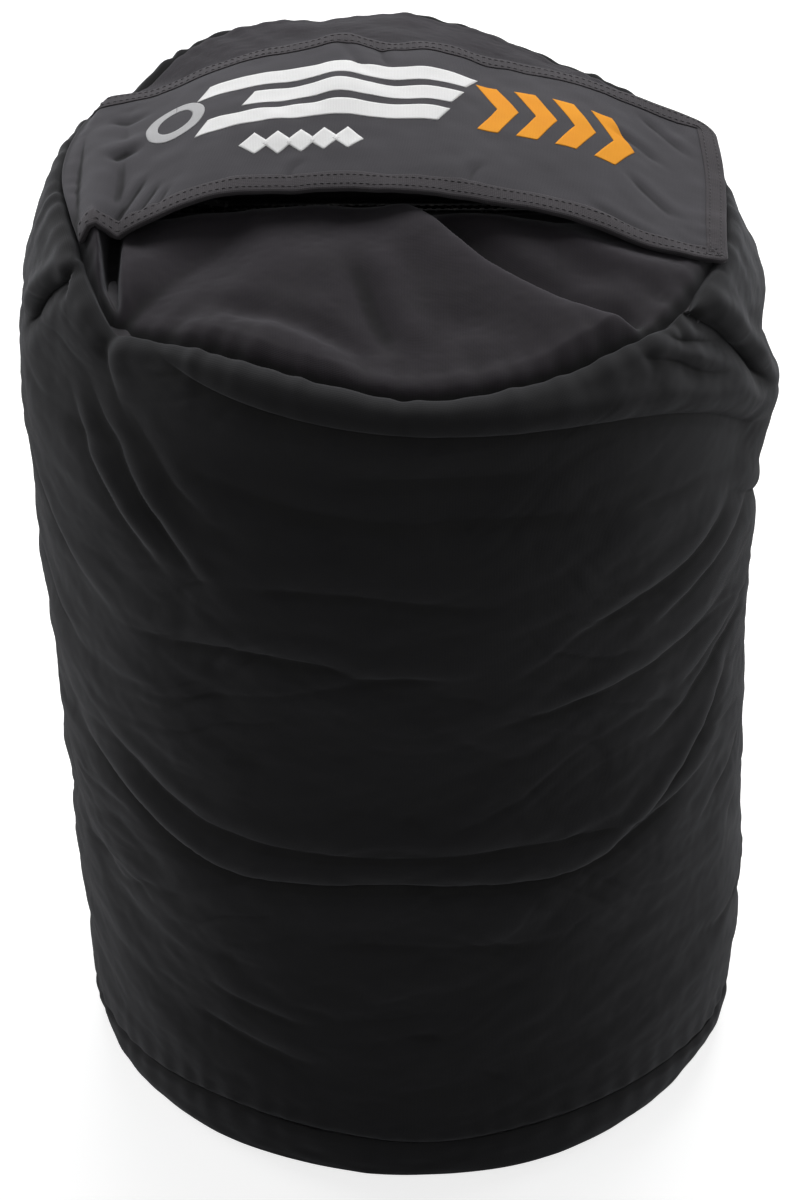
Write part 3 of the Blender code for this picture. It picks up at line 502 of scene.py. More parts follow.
# How far that roll stands off, with its widths above and below its line; and the hollow's depth and width
ROLL_RISE, ROLL_WIDTH_ABOVE, ROLL_WIDTH_BELOW = 0.0108, 0.02, 0.0205
SAG_DEPTH, SAG_WIDTH = 0.0066, 0.024
# Soft swells round the right side: angle, height, half sizes and how far they stand off
RIGHT_SWELLS = ((-2, 0.427, 0.045, 0.023, 0.0052), (2, 0.503, 0.04, 0.017, 0.005))
# Puckers round the rim seam and the base seam: how many, and how deep
RIM_PUCKERS = 78
BASE_PUCKERS = 64
PUCKER_DEPTH = 0.0007


def wall_relief(angle, height, seam_distance, base_distance):
    """How far the tube's cloth stands off its plain shape along its normal, how far it slides round and
    up, and the painted shade in its creases."""
    u = angle / 360
    relief, slide_u, slide_v, shade = all_folds(angle, height)
    relief = relief * ease(seam_distance, -0.002, 0.014)
    body = ease(base_distance, 0.0, 0.06) * ease(seam_distance, 0.0, 0.05)
    slant = height + 0.018 * np.sin(np.radians(angle) * 3 + 1.0)
    relief += 0.002 * ripples(u, slant / WALL_SPAN, 9, 9, 11) * body
    relief += 0.0013 * ripples(u + 0.13 * slant, slant / WALL_SPAN, 22, 26, 12) * body
    relief += 0.00055 * ripples(u - 0.2 * slant, slant / WALL_SPAN, 60, 60, 13) * ease(base_distance, 0, 0.02)
    relief += 0.00018 * ripples(u, height / WALL_SPAN, 220, 150, 14)
    relief += wrinkles(angle, height) * body
    # the roll of cloth that hangs over on the right, and the slack under the shoulder's edge
    turned = np.radians((angle + 180) % 360 - 180) * ARC_RADIUS
    distance, along = near_line(turned, height, on_arc(RIGHT_ROLL))
    across = np.where(distance > 0, ROLL_WIDTH_ABOVE, ROLL_WIDTH_BELOW)
    relief += ROLL_RISE * bump(distance, across) * ease(along, 0.05, 0.45) * (1 - ease(along, 0.75, 1.0))
    for place, level, half_round, half_up, rise in RIGHT_SWELLS:
        round_it = bump(turned - math.radians(place) * ARC_RADIUS, half_round)
        relief += rise * round_it * bump(height - level, half_up)
    distance, along = near_line(turned, height, on_arc(SAG_LINE))
    relief -= SAG_DEPTH * bump(distance, SAG_WIDTH) * tapered(along, 0.12, 0.16)
    # puckers along the two seams
    fine = puckers(angle, RIM_PUCKERS) * (0.65 + 0.35 * ripples(u, 0 * u + 0.5, 34, 2, 16))
    relief += 0.0008 * fine * near_seam(seam_distance, 0.015)
    relief += PUCKER_DEPTH * puckers(angle, 37, 1.7) * near_seam(seam_distance, 0.03, 0.004)
    relief += PUCKER_DEPTH * puckers(angle, BASE_PUCKERS, -1) * near_seam(base_distance, 0.014)
    return relief, slide_u, slide_v, shade


def wrinkles(angle, height):
    """Fine creases along the lines where soft noise crosses zero, drawn out along the way the cloth sags."""
    turn = np.radians(angle)
    u = angle / 360
    sag = 0.03 * np.cos(2 * turn) + 0.022 * np.sin(turn + 0.6) + 0.012 * np.sin(5 * turn)
    relief = np.zeros(angle.shape)
    for seed, columns, rows, share, depth, tilt in WRINKLES:
        level = (height + sag * tilt + 0.01 * ripples(u, height / 0.6, 30, 16, seed + 50)) / 0.75 + 0.1
        noise = ripples(u + 0.15 * level, level, columns, rows, seed)
        patchy = ease(ripples(u, height / 0.6, 12, 9, seed + 90), -0.15, 0.75)
        relief -= depth * patchy * (bump(noise, share) - 0.6 * bump(noise - 2.2 * share, 1.6 * share))
    return relief


def deepest(relief):
    """Keeps the cloth from sinking past what is behind it, without a sharp edge."""
    half = LEAST_RELIEF / 2
    return np.where(relief > half, relief, LEAST_RELIEF - half * np.exp((relief - half) / -half))


# The wall's height for the noise, its grid, and the share of its rows below the shoulder
WALL_SPAN = 0.56
WALL_COLUMNS = 700
WALL_ROWS = 330
STRAIGHT_SHARE = 0.7
# The rim seam: how deep and wide it draws the cloth in, the roll beside it at the front and the back with
# its place and width, and how far the cloth hangs over; then the base seam; then how strong and wide the
# painted shade along the seams is, and how strong it is in broad hollows
SEAM_SINK = 0.0062
SEAM_SINK_WIDTH = 0.0027
SEAM_ROLL = 0.0014
BACK_SEAM_ROLL = 0.0012
SEAM_ROLL_PLACE, SEAM_ROLL_WIDTH = 0.0095, 0.0055
SEAM_HANG, SEAM_HANG_PLACE, SEAM_HANG_WIDTH = 0.0016, 0.0065, 0.0035
BASE_SEAM_SINK = 0.0026
BASE_SEAM_WIDTH = 0.0026
SEAM_SHADE, SEAM_SHADE_WIDTH = 2.0, 0.0034
BASE_SHADE, BASE_SHADE_WIDTH = 1.0, 0.0022
WIDE_SHADE = 0.9


def wall_points():
    """The tube from the base seam up, and over the shoulder to the rim seam."""
    angle = all_round(WALL_COLUMNS)[None, :]
    share = np.linspace(0, 1, WALL_ROWS)[:, None]
    angle = np.broadcast_to(angle, (WALL_ROWS, WALL_COLUMNS))
    height = blend(base_seam_heights(angle), SHOULDER_START, np.clip(share / STRAIGHT_SHARE, 0, 1))
    radius = radius_at(angle, height)
    t = np.clip((share - STRAIGHT_SHARE) / (1 - STRAIGHT_SHARE), 0, 1)
    rim_z, rim_r = rim_heights(angle), rim_radii(angle)
    side = radius_at(angle, SHOULDER_START)
    eased = side - 0.0005 - SHOULDER_SIDE_IN * np.cos(np.radians(angle)) ** 2
    low = rim_z - SHOULDER_SIDE_DROP + SHOULDER_FRONT_RISE * bump(angle + 90, SHOULDER_FRONT_WIDTH)
    line = (
        (side, SHOULDER_START), (eased, low),
        (rim_r + shoulder_reaches(angle), rim_z - shoulder_drops(angle)), (rim_r, rim_z),
    )
    weights = ((1 - t) ** 3, 3 * t * (1 - t) ** 2, 3 * t * t * (1 - t), t ** 3)
    up = share > STRAIGHT_SHARE
    radius = np.where(up, sum(w * p[0] for w, p in zip(weights, line)), radius)
    height = np.where(up, sum(w * p[1] for w, p in zip(weights, line)), height)
    points = about_axis(angle, radius, height)
    outward = normals_of(points, closed=True)
    round_it = unit(np.roll(points, -1, axis=1) - np.roll(points, 1, axis=1))
    upward = np.cross(outward, round_it)
    lengths = np.linalg.norm(np.diff(points, axis=0), axis=2)
    walked = np.concatenate([np.zeros((1, WALL_COLUMNS)), np.cumsum(lengths, axis=0)])
    seam = walked[-1] - walked
    relief, slide_u, slide_v, shade = wall_relief(angle, height, seam, walked)
    relief = deepest(relief)
    front = 1 - ease(np.sin(np.radians(angle)), -0.3, 0.5)
    relief += blend(BACK_SEAM_ROLL, SEAM_ROLL, front) * bump(seam - SEAM_ROLL_PLACE, SEAM_ROLL_WIDTH)
    relief -= SEAM_SINK * bump(seam, SEAM_SINK_WIDTH) + BASE_SEAM_SINK * bump(walked, BASE_SEAM_WIDTH)
    slide_v = slide_v + SEAM_HANG * bump(seam - SEAM_HANG_PLACE, SEAM_HANG_WIDTH)
    moved = points + outward * relief[..., None] + round_it * slide_u[..., None] + upward * slide_v[..., None]
    # painted shade and highlight for the colour: darker in creases, hollows and along both seams, lighter
    # where the cloth stands higher
    fold = shade + hollows(relief, True) + WIDE_SHADE * hollows(relief, True, 20, 0.005)
    fold = fold - SEAM_SHADE * bump(seam, SEAM_SHADE_WIDTH) - BASE_SHADE * bump(walked, BASE_SHADE_WIDTH)
    return moved, fold


def top_shape(x, y):
    """Height of the top panels; x and y are in the bag's frame."""
    px = x - LEAN
    angle = angle_of(x, y)
    reach = np.hypot(px, y) / rim_radii(angle)
    plane = RIM_PLANE + RIM_SLOPE * y - RIM_FALL * px
    rim = blend(plane, rim_heights(angle), np.clip(reach, 0, 1) ** 3)
    full = rim + CROWN * (1 - reach ** 2) + top_relief(x, y, reach, angle)
    past = np.abs(px - MOUTH_SHIFT) - MOUTH_HALF_LENGTH
    room = np.abs(np.copysign(np.sqrt(np.maximum(RIM_RADIUS ** 2 - y * y, 0)), px) - MOUTH_SHIFT)
    rise = np.clip(np.maximum(0, past) / np.maximum(room - MOUTH_HALF_LENGTH, 0.0003), 0, 1)
    floor = blend(MOUTH_FLOOR, full, rise)
    return blend(full, floor, 1 - ease(np.abs(y), GUTTER_FLAT, GUTTER_HALF))


# Folds of the top panels, as lines of (x, y). The ridge has a height, a soft and a sharp side, and a dip
# beside the sharp one with its place and width.
TOP_RIDGE = (
    (-0.024, -0.04), (-0.012, -0.05), (0.0097, -0.0714), (0.0316, -0.0914), (0.0479, -0.1043),
    (0.075, -0.1181), (0.1021, -0.128), (0.123, -0.133),
)
RIDGE_RISE, RIDGE_SOFT_WIDTH, RIDGE_SHARP_WIDTH = 0.01, 0.034, 0.0042
RIDGE_DIP, DIP_PLACE, DIP_WIDTH = 0.0085, 0.013, 0.0105
TOP_LEFT_FOLD = (
    (-0.157, -0.022), (-0.16, -0.0554), (-0.16, -0.0891), (-0.1585, -0.113), (-0.158, -0.123),
)
LEFT_EDGE_RISE, LEFT_DROP = 0.0046, 0.02
# Rolls of the front panel: a line, a height, a width, and the shares of the line over which the roll fades
TOP_ROLLS = (
    (((0.07, -0.058), (0.0929, -0.0675), (0.1178, -0.076), (0.1442, -0.079), (0.16, -0.087)),
     0.0046, 0.0095, 0.3, 0.3),
    (((-0.18, -0.04), (-0.1765, -0.064), (-0.1715, -0.088), (-0.1655, -0.108), (-0.16, -0.122)),
     0.0075, 0.0036, 0.12, 0.1),
)
# Two soft troughs of the front panel, each as a line with a depth and a width, which is negative where
# the swell beside the trough lies on the right of the line
TOP_TROUGHS = (
    (((-0.128, -0.114), (-0.0965, -0.1287), (-0.0773, -0.1358), (-0.061, -0.1426), (-0.0446, -0.1514),
      (-0.0284, -0.1608), (-0.0133, -0.169)), 0.0036, -0.0085),
    (((-0.038, -0.086), (-0.0331, -0.1013), (-0.0276, -0.1176), (-0.021, -0.1345), (-0.0134, -0.1526),
      (-0.008, -0.166)), 0.0044, 0.0085),
)
# Soft dents of the top: place, half sizes and depth
TOP_DENTS = (
    (-0.056, -0.104, 0.032, 0.022, -0.0034), (-0.118, -0.084, 0.026, 0.02, 0.003),
    (0.03, -0.14, 0.026, 0.014, 0.003), (-0.12, -0.118, 0.024, 0.012, -0.002),
    (0.09, -0.09, 0.02, 0.012, 0.0034), (0.142, -0.102, 0.014, 0.012, 0.0036),
    (-0.151, -0.062, 0.015, 0.016, 0.0044), (0.05, 0.125, 0.03, 0.02, 0.003),
    (-0.07, 0.135, 0.034, 0.016, 0.0026),
)


def top_relief(x, y, reach, angle):
    """Folds, dents and puckers of the top panels."""
    inside = 1 - ease(reach, 0.94, 1.0)
    distance, along = near_line(x, y, TOP_RIDGE)
    strength = ease(along, 0.0, 0.3) * (1 - 0.25 * ease(along, 0.9, 1.0))
    ridge = bump(distance, np.where(distance < 0, RIDGE_SOFT_WIDTH, RIDGE_SHARP_WIDTH))
    dip = bump(distance - DIP_PLACE, DIP_WIDTH) * (distance > -0.01)
    relief = strength * (RIDGE_RISE * ridge - RIDGE_DIP * dip)
    distance, along = near_line(x, y, TOP_LEFT_FOLD)
    drop = ease(-distance, 0.0, 0.0042) * (1 - ease(-distance, 0.0095, 0.014))
    edge = bump(distance, np.where(distance < 0, 0.0026, 0.026)) * ease(-y, 0.06, 0.088)
    relief += tapered(along, 0.1, 0.25) * (LEFT_EDGE_RISE * edge - LEFT_DROP * drop)
    for line, rise, width, start, end in TOP_ROLLS:
        distance, along = near_line(x, y, line)
        relief += rise * bump(distance, width) * tapered(along, start, end)
    for line, depth, width in TOP_TROUGHS:
        distance, along = near_line(x, y, line)
        swell = bump(distance - 1.8 * width, 1.3 * width)
        relief -= depth * tapered(along, 0.35, 0.25) * (bump(distance, width) - 0.8 * swell)
    for at_x, at_y, wide, deep, depth in TOP_DENTS:
        relief -= depth * np.exp(-((x - at_x) / wide) ** 2 - ((y - at_y) / deep) ** 2)
    u, v = x / 0.4 + 0.5, y / 0.4 + 0.5
    relief += 0.0018 * ripples(u, v, 9, 9, 21) + 0.0008 * ripples(u, v, 24, 24, 22)
    relief += 0.00014 * ripples(u, v, 120, 120, 23)
    seam = (1 - reach) * RIM_RADIUS
    near = PUCKER_DEPTH * puckers(angle, RIM_PUCKERS, phase=0.6) * near_seam(seam, 0.012)
    return relief * inside + near + PUCKER_DEPTH * puckers(angle, 31, -1) * near_seam(seam, 0.03)


TOP_ROWS = 170
TOP_COLUMNS = 300
TOP_SEAM_SINK = 0.0076
TOP_SEAM_SINK_WIDTH = 0.0033
TOP_SEAM_ROLL = 0.001
MOUTH_TAPER = 0.00012


def top_points(side):
    """Half of the top as rows from the mouth's edge out to the rim, over columns from end to end."""
    share = np.linspace(0, 1, TOP_ROWS)[:, None] ** 0.8
    turn = np.linspace(0, 180, TOP_COLUMNS)[None, :]
    rim_r = rim_radii(side * turn)
    rim_x = rim_r * np.cos(np.radians(turn)) + LEAN
    rim_y = side * rim_r * np.sin(np.radians(turn))
    past = np.abs(rim_x - LEAN - MOUTH_SHIFT) - MOUTH_HALF_LENGTH
    mouth = np.clip(MOUTH_HALF_WIDTH - past, MOUTH_TAPER, MOUTH_HALF_WIDTH)
    mouth = np.minimum(mouth, np.abs(rim_y) + MOUTH_TAPER / 10)
    y = blend(side * mouth, rim_y, share)
    x = np.broadcast_to(rim_x, y.shape)
    z = top_shape(x, y)
    px = x - LEAN
    seam = np.maximum(rim_radii(angle_of(x, y)) - np.hypot(px, y), 0)
    z = z - TOP_SEAM_SINK * bump(seam, TOP_SEAM_SINK_WIDTH) + TOP_SEAM_ROLL * bump(seam - 0.01, 0.005)
    plain = RIM_SLOPE * y - RIM_FALL * px - CROWN * (px * px + y * y) / RIM_RADIUS ** 2
    # with the painted shade and highlight for the colour: darker in hollows and along the rim seam, lighter
    # where the cloth stands higher
    return np.stack([x, y, z], -1), hollows(z - plain, False) - SEAM_SHADE * bump(seam, 0.0048)


# Base

BASE_COLUMNS = 400
BASE_ROWS = 80
BASE_FLAT_SHARE = 0.42
BASE_HOLE = 0.004


def base_points():
    """From the middle of the contact face, out to it and round the corner up to the base seam."""
    angle = all_round(BASE_COLUMNS)[None, :]
    angle = np.broadcast_to(angle, (BASE_ROWS, BASE_COLUMNS))
    share = np.linspace(0, 1, BASE_ROWS)[:, None]
    seam = base_seam_heights(angle)
    contact = CONTACT_RADIUS + 0.0015 * np.sin(np.radians(angle * 5 + 40))
    flat = share < BASE_FLAT_SHARE
    t = np.clip((share - BASE_FLAT_SHARE) / (1 - BASE_FLAT_SHARE), 0, 1) * math.pi / 2
    radius = np.where(flat, blend(BASE_HOLE, contact, np.clip(share / BASE_FLAT_SHARE, 0, 1)),
                      contact + (radius_at(angle, seam) - contact) * np.sin(t) ** 0.94)
    height = np.where(flat, 0.0, seam * (1 - np.cos(t)) ** 1.06)
    points = about_axis(angle, radius, height)
    down = np.clip((seam - height) / seam, 0, 1)
    near = np.exp(-down * seam / 0.012) * ease(down, 0, 0.1)
    relief = PUCKER_DEPTH * puckers(angle, BASE_PUCKERS, -1, 0.5) * near
    u, v = angle / 360, share + 0 * angle
    relief += 0.0012 * ripples(u, v, 26, 5, 31) + 0.0006 * ripples(u, v, 70, 12, 32)
    relief = relief * ease(height, 0.0005, 0.012) - 0.0026 * bump(seam - height, 0.0028)
    normals = normals_of(points, closed=True)
    inward = ((points - (0.0, 0.0, 0.1)) * normals).sum(2, keepdims=True) < 0
    points = points + np.where(inward, -normals, normals) * relief[..., None]
    points[..., 2] = np.maximum(points[..., 2], 0.0)
    return points, relief


# Flap

flap_front = smooth(FLAP_FRONT_EDGE)
flap_back = smooth(FLAP_BACK_EDGE)
shoulder_falls = smooth(
    ((0, 0), (0.005, 0.0014), (0.0111, 0.0051), (0.018, 0.015), (0.0215, 0.03), (0.03, 0.06)),
)
# Hook and loop patches: their ends, their thickness, and the gaps behind the loop and the hook tape; then
# how near the flap's middle may come to the bag, and how softly it is lifted there
PATCH_X = (0.138, 0.158)
PATCH_Y = (-0.03, 0.04)
PATCH = 0.0014
LOOP_GAP, HOOK_GAP = 0.0003, 0.0002
FLAP_LEAST = 0.0032
FLAP_EASE = 0.0016
# How far the flap's middle arches over its edges: at its ends, and how much more along its arch
FLAP_ARCH = 0.001
FLAP_ARCH_MORE = 0.0045

# Wrinkles of the flap as lines of (x, y) with a depth and a width, in millimetres
FLAP_FOLDS = (
    (((-174, 0), (-162, 6), (-150, 4)), 2.6, 4),
    (((-166, -58), (-156, -40), (-146, -20)), 2, 2.8),
    (((-154, -60), (-146, -46), (-139, -32)), 1.6, 2.6),
    (((-143, -60), (-138, -49), (-133, -40)), 1.2, 2.4),
    (((-176, 46), (-160, 40), (-146, 44)), 1.4, 3.4),
    (((104, 30), (128, 24), (152, 10)), 1.3, 3.6),
    (((116, -6), (134, -20), (158, -40)), 1.5, 3.4),
    (((92, -50), (118, -54), (146, -56)), 1.1, 3),
    (((126, 60), (144, 46), (164, 28)), 1.2, 3),
    (((-40, 70), (-34, 50), (-22, 30)), 1.2, 4),
    (((-18, 72), (-16, 55), (-10, 40)), 1, 3.6),
    (((30, -60), (34, -45), (44, -34)), 0.9, 3.2),
    (((-70, -60), (-66, -48), (-56, -40)), 0.8, 3),
)


def bag_top(x, y):
    """Height of the bag under the flap: the top panels, and the shoulder past the rim."""
    angle = angle_of(x, y)
    past = np.hypot(x - LEAN, y) - rim_radii(angle)
    return np.where(past > 0, rim_heights(angle) - shoulder_falls(np.clip(past, 0, 0.03)), top_shape(x, y))


def flap_height(x, y):
    """Middle of the flap's two layers."""
    across = np.clip((y - FLAP_FRONT_Y) / (FLAP_BACK_Y - FLAP_FRONT_Y), 0, 1)
    lift = ease(x, -0.185, -0.15) * (1 - ease(x, 0.09, 0.15))
    height = blend(flap_front(x), flap_back(x), across ** 0.92)
    height = height + 4 * across * (1 - across) * (FLAP_ARCH_MORE * lift + FLAP_ARCH)
    for line, depth, width in FLAP_FOLDS:
        width = width / 1000
        distance, along = near_line(x, y, np.array(line) / 1000, 5)
        fold = bump(distance, width) - 0.55 * bump(distance - 2.0 * width, 1.5 * width)
        height = height - depth / 1000 * tapered(along, 0.3, 0.4) * fold
    u = x / 0.5 + 0.5
    height = height + 0.0011 * ripples(u, across, 14, 5, 41) + 0.00045 * ripples(u, across, 46, 14, 42)
    # a smooth maximum keeps the cloth off the bag
    over = height - bag_top(x, y) - FLAP_LEAST
    height = height + (np.sqrt(over ** 2 + FLAP_EASE ** 2) - over) / 2
    root = root_x(y)
    rim = rim_heights(angle_of(root, y))
    return blend(rim + 0.0004, height, ease(x - root, 0.0, blend(0.006, 0.0105, across)))


def root_x(y):
    """Where the flap is sewn into the rim seam."""
    x = -0.17
    for _ in range(4):
        radius = rim_radii(np.degrees(np.arctan2(y, x))) - 0.0004
        x = -np.sqrt(np.maximum(radius ** 2 - y ** 2, 0))
    return x + LEAN


def flap_end(y):
    """Where the free end lies, with its corners rounded."""
    x = FLAP_END + 0.0016 * np.sin((y + 0.02) * 40)
    for corner, past in ((FLAP_CORNER, y - FLAP_BACK_Y), (FLAP_CORNER / 2, FLAP_FRONT_Y - y)):
        x = x - corner + np.sqrt(corner ** 2 - np.clip(past + corner, 0, corner) ** 2)
    return x


FLAP_COLUMNS = 320
FLAP_ROWS = 130


def flap_grid():
    y = np.linspace(FLAP_FRONT_Y, FLAP_BACK_Y, FLAP_ROWS)[:, None]
    share = np.linspace(0, 1, FLAP_COLUMNS)[None, :]
    x = blend(root_x(y), flap_end(y), share)
    y = np.broadcast_to(y, x.shape)
    return np.stack([x, y, flap_height(x, y)], -1)


def edge_path():
    """The flap's free edge from its front root round to its back root: places, inward directions, and
    how far each lies along the edge."""
    def side(start, end, y):
        x = np.linspace(start, end, 190)
        return np.stack([x, np.full(x.shape, y)], 1)

    ys = (0.5 - 0.5 * np.cos(np.linspace(0, math.pi, 110)))[1:-1]
    ys = FLAP_FRONT_Y + (FLAP_BACK_Y - FLAP_FRONT_Y) * ys
    path = np.concatenate([
        side(root_x(FLAP_FRONT_Y), flap_end(FLAP_FRONT_Y), FLAP_FRONT_Y), np.stack([flap_end(ys), ys], 1),
        side(flap_end(FLAP_BACK_Y), root_x(FLAP_BACK_Y), FLAP_BACK_Y),
    ])
    path = path[np.concatenate([[True], np.linalg.norm(np.diff(path, axis=0), axis=1) > 0.0002])]
    along = unit(np.gradient(path, axis=0))
    for _ in range(3):
        along[1:-1] = (along[:-2] + 2 * along[1:-1] + along[2:]) / 4
        along = unit(along)
    return path, np.stack([-along[:, 1], along[:, 0]], 1), walked_along(path)


def on_flap(place, level):
    """A point over the flap's cloth, level above its middle along its normal."""
    x, y = place[..., 0], place[..., 1]
    step = 0.0008
    dx = (flap_height(x + step, y) - flap_height(x - step, y)) / (2 * step)
    dy = (flap_height(x, y + step) - flap_height(x, y - step)) / (2 * step)
    normal = unit(np.stack([-dx, -dy, np.ones(x.shape)], -1))
    return np.stack([x, y, flap_height(x, y)], -1) + normal * np.asarray(level)[..., None]


def binding_object():
    """The tape folded round the flap's free edges, as one closed section carried along them."""
    path, inward, walked = edge_path()
    half = FLAP_THICKNESS / 2
    top = half + BINDING_THICKNESS
    leg = BINDING_WIDTH + 0.0005 * ripples(walked / walked[-1], 0 * walked, 60, 2, 51)
    section = (
        (1.0, half), (1.0, top * 0.94), (0.97, top), (0.66, top * 1.02), (0.36, top * 1.02), (0.1, top),
        (0.02, top * 0.86), (-0.055, top * 0.45), (-0.07, 0.0), (-0.055, -top * 0.45), (0.02, -top * 0.86),
        (0.1, -top), (0.36, -top), (0.97, -top), (1.0, -top * 0.94), (1.0, -half),
        (0.03, -half), (0.0, 0.0), (0.03, half),
    )
    wave = BINDING_WAVE * np.sin(walked / BINDING_WAVE_PITCH * 2 * math.pi)
    lines = []
    for share, level in section:
        place = path + inward * (share * leg)[:, None]
        lines.append(on_flap(place, level + wave * (0.1 < share < 0.98 and level > 0)))
    points = np.stack(lines, 1)
    ring = np.concatenate([points, points[:, :1]], 1)
    uv = np.stack(np.broadcast_arrays(walked[:, None], walked_along(ring[len(ring) // 2])[None, :]), 2)
    made = grid_object("flap_edge_tape", points, closed=True, uv=uv)
    close_ends(made)
    return made


def close_ends(made, reach=math.inf, outward=True):
    """Caps the open ends within reach of the middle, and turns every face outward."""
    mesh = bmesh.new()
    mesh.from_mesh(made.data)
    open_edges = [
        edge for edge in mesh.edges
        if edge.is_boundary and all(math.hypot(v.co.x, v.co.y) < reach for v in edge.verts)
    ]
    bmesh.ops.holes_fill(mesh, edges=open_edges)
    if outward:
        bmesh.ops.recalc_face_normals(mesh, faces=mesh.faces)
    mesh.to_mesh(made.data)
    mesh.free()


# Stitches: their size, how finely each is modelled, and the rows as shares of the tape's width
STITCH_PITCH = 0.0036
STITCH_LENGTH = 0.0027
STITCH_RADIUS = 0.00028
STITCH_SIDES = 5
STITCH_RINGS = 5
STITCH_ROWS = (0.8, 0.26)


def stitches(name, place, normal, along):
    """A row of short stitches, each a bent capsule of thread that dives into the cloth at both ends."""
    t = np.linspace(-1, 1, STITCH_RINGS)[:, None]
    turn = np.linspace(0, 2 * math.pi, STITCH_SIDES, endpoint=False)
    radius = STITCH_RADIUS * np.sqrt(np.clip(1 - 0.75 * t ** 2, 0, 1))
    lift = STITCH_RADIUS * (0.9 - 1.5 * t ** 4)
    place, normal, along = (part[:, None, None] for part in (place, normal, along))
    centre = place + along * (t * STITCH_LENGTH / 2)[..., None] + normal * lift[..., None]
    aside = np.cross(normal, along) * (np.cos(turn) * radius)[..., None] * 1.25
    points = centre + aside + normal * (np.sin(turn) * radius)[..., None]
    faces = grid_faces(STITCH_RINGS, STITCH_SIDES, True)[0]
    first = np.arange(len(place)) * STITCH_RINGS * STITCH_SIDES
    made = mesh_object(name, points.reshape(-1, 3), (faces + first[:, None, None]).reshape(-1, 4))
    close_ends(made)
    return made


def edge_stitches():
    """Two rows of stitches along the tape on the flap's edge."""
    path, inward, walked = edge_path()
    at = (np.arange(int(walked[-1] / STITCH_PITCH)) + 0.5) * STITCH_PITCH
    rows = []
    for share in STITCH_ROWS:
        place = path + inward * (BINDING_WIDTH * share)
        even, ahead = (
            np.stack([np.interp(at + step, walked, place[:, axis]) for axis in (0, 1)], 1)
            for step in (0, 0.0008)
        )
        low, high = on_flap(even, 0.0 * at), on_flap(even, 0.0 * at + 0.001)
        normal = unit(high - low)
        along = unit(on_flap(ahead, 0.0 * at) - low)
        along = unit(along - normal * (along * normal).sum(1, keepdims=True))
        rows.append((low + normal * (FLAP_THICKNESS / 2 + BINDING_THICKNESS), normal, along))
    return stitches("flap_edge_stitches", *(np.concatenate(parts) for parts in zip(*rows)))


# Print: slanted bars as (left, right, low, high), a ring as (x, y, outer radius, inner radius), arrowheads
# with their (width, point, low, high), and diamonds with the y of their middles and their half size

PRINT_RISE = 0.00025
PRINT_SLANT = 0.55
PRINT_STRIPES = (
    (-0.122, 0.03, 0.03, 0.043), (-0.096, 0.022, 0.011, 0.024), (-0.122, 0.014, -0.008, 0.005),
)
PRINT_RING = (-0.134, 0.0175, 0.017, 0.01)
ARROW_START, ARROW_STEP, ARROW_COUNT = 0.036, 0.022, 4
ARROW_SHAPE = (0.012, 0.012, -0.008, 0.038)
DIAMOND_START, DIAMOND_STEP, DIAMOND_COUNT = -0.088, 0.013, 5
DIAMOND_SHAPE = (-0.027, 0.0088)


def decal(name, x, y):
    """A thin printed shape over the flap, from grids of x and y."""
    place = np.stack([x, y], -1)
    points = on_flap(place, np.full(x.shape, FLAP_THICKNESS / 2 + PRINT_RISE))
    return thicken(grid_object(name, points, uv=place), PRINT_RISE)


def unit_grid(columns, rows):
    return np.meshgrid(np.linspace(0, 1, columns), np.linspace(0, 1, rows))


def stripe(name, left, right, low, high):
    """A band along the flap with slanted ends."""
    u, v = unit_grid(70, 12)
    y = blend(low, high, v)
    return decal(name, blend(left, right, u) + PRINT_SLANT * (y - low), y)


def chevron(name, left, width, point, low, high):
    u, v = unit_grid(14, 41)
    return decal(name, left + width * u + point * (1 - np.abs(2 * v - 1)), blend(low, high, v))


def ring(name, middle_x, middle_y, outer, inner):
    u, v = unit_grid(73, 8)
    radius = blend(inner, outer, v)
    turn = 2 * math.pi * u
    return decal(name, middle_x + radius * np.sin(turn), middle_y + radius * np.cos(turn))


def diamond(name, middle_x, middle_y, half):
    u, v = unit_grid(9, 9)
    across, up = 2 * u - 1, 2 * v - 1
    return decal(name, middle_x + half * (across - up) / 2, middle_y + half * (across + up) / 2)


def patch(name, height, level):
    """A patch of hook or loop tape under the flap's free end."""
    u, v = unit_grid(40, 90)
    x, y = blend(*PATCH_X, u), blend(*PATCH_Y, v)
    z = height(x, y) + level + 0.00012 * ripples(u, v, 30, 60, 61)
    return thicken(grid_object(name, np.stack([x, y, z], -1)), PATCH)


# Hidden inside: tapes over the seams, the liner and the sand

# The tapes' sections, as lengths out from the seam's radius and up from the seam
RIM_TAPE = (
    (0.0075, -0.0135), (0.001, -0.0075), (-0.0085, -0.007), (-0.0085, -0.0078), (0.001, -0.0083),
    (0.007, -0.0142),
)
BASE_TAPE = (
    (-0.0055, -0.007), (-0.0048, 0.0), (-0.0042, 0.008), (-0.005, 0.008), (-0.0056, 0.0), (-0.0063, -0.007),
)
TAPE_LEVEL = 0.045
# The filling's floor, how far it lies inside the wall and under the top, and the well for the neck
FILL_FLOOR = 0.0022
FILL_WALL_GAP = 0.011
FILL_TOP_GAP = 0.0125
WELL_RADIUS = 0.075
WELL_DEPTH = 0.036
# The neck: its radius where it leaves the filling, how far that is below the mouth, its length, and its
# radius where the tie holds it; then its radii, each with how far up it lies
NECK_RADIUS = 0.022
NECK_FOOT = 0.048
NECK_LENGTH = 0.028
TIED_RADIUS = 0.0085
LINER_NECK = (
    (NECK_RADIUS, 0), (0.014575, 0.06), (TIED_RADIUS, 0.3), (TIED_RADIUS, 0.5), (TIED_RADIUS, 0.72),
    (0.013225, 1),
)


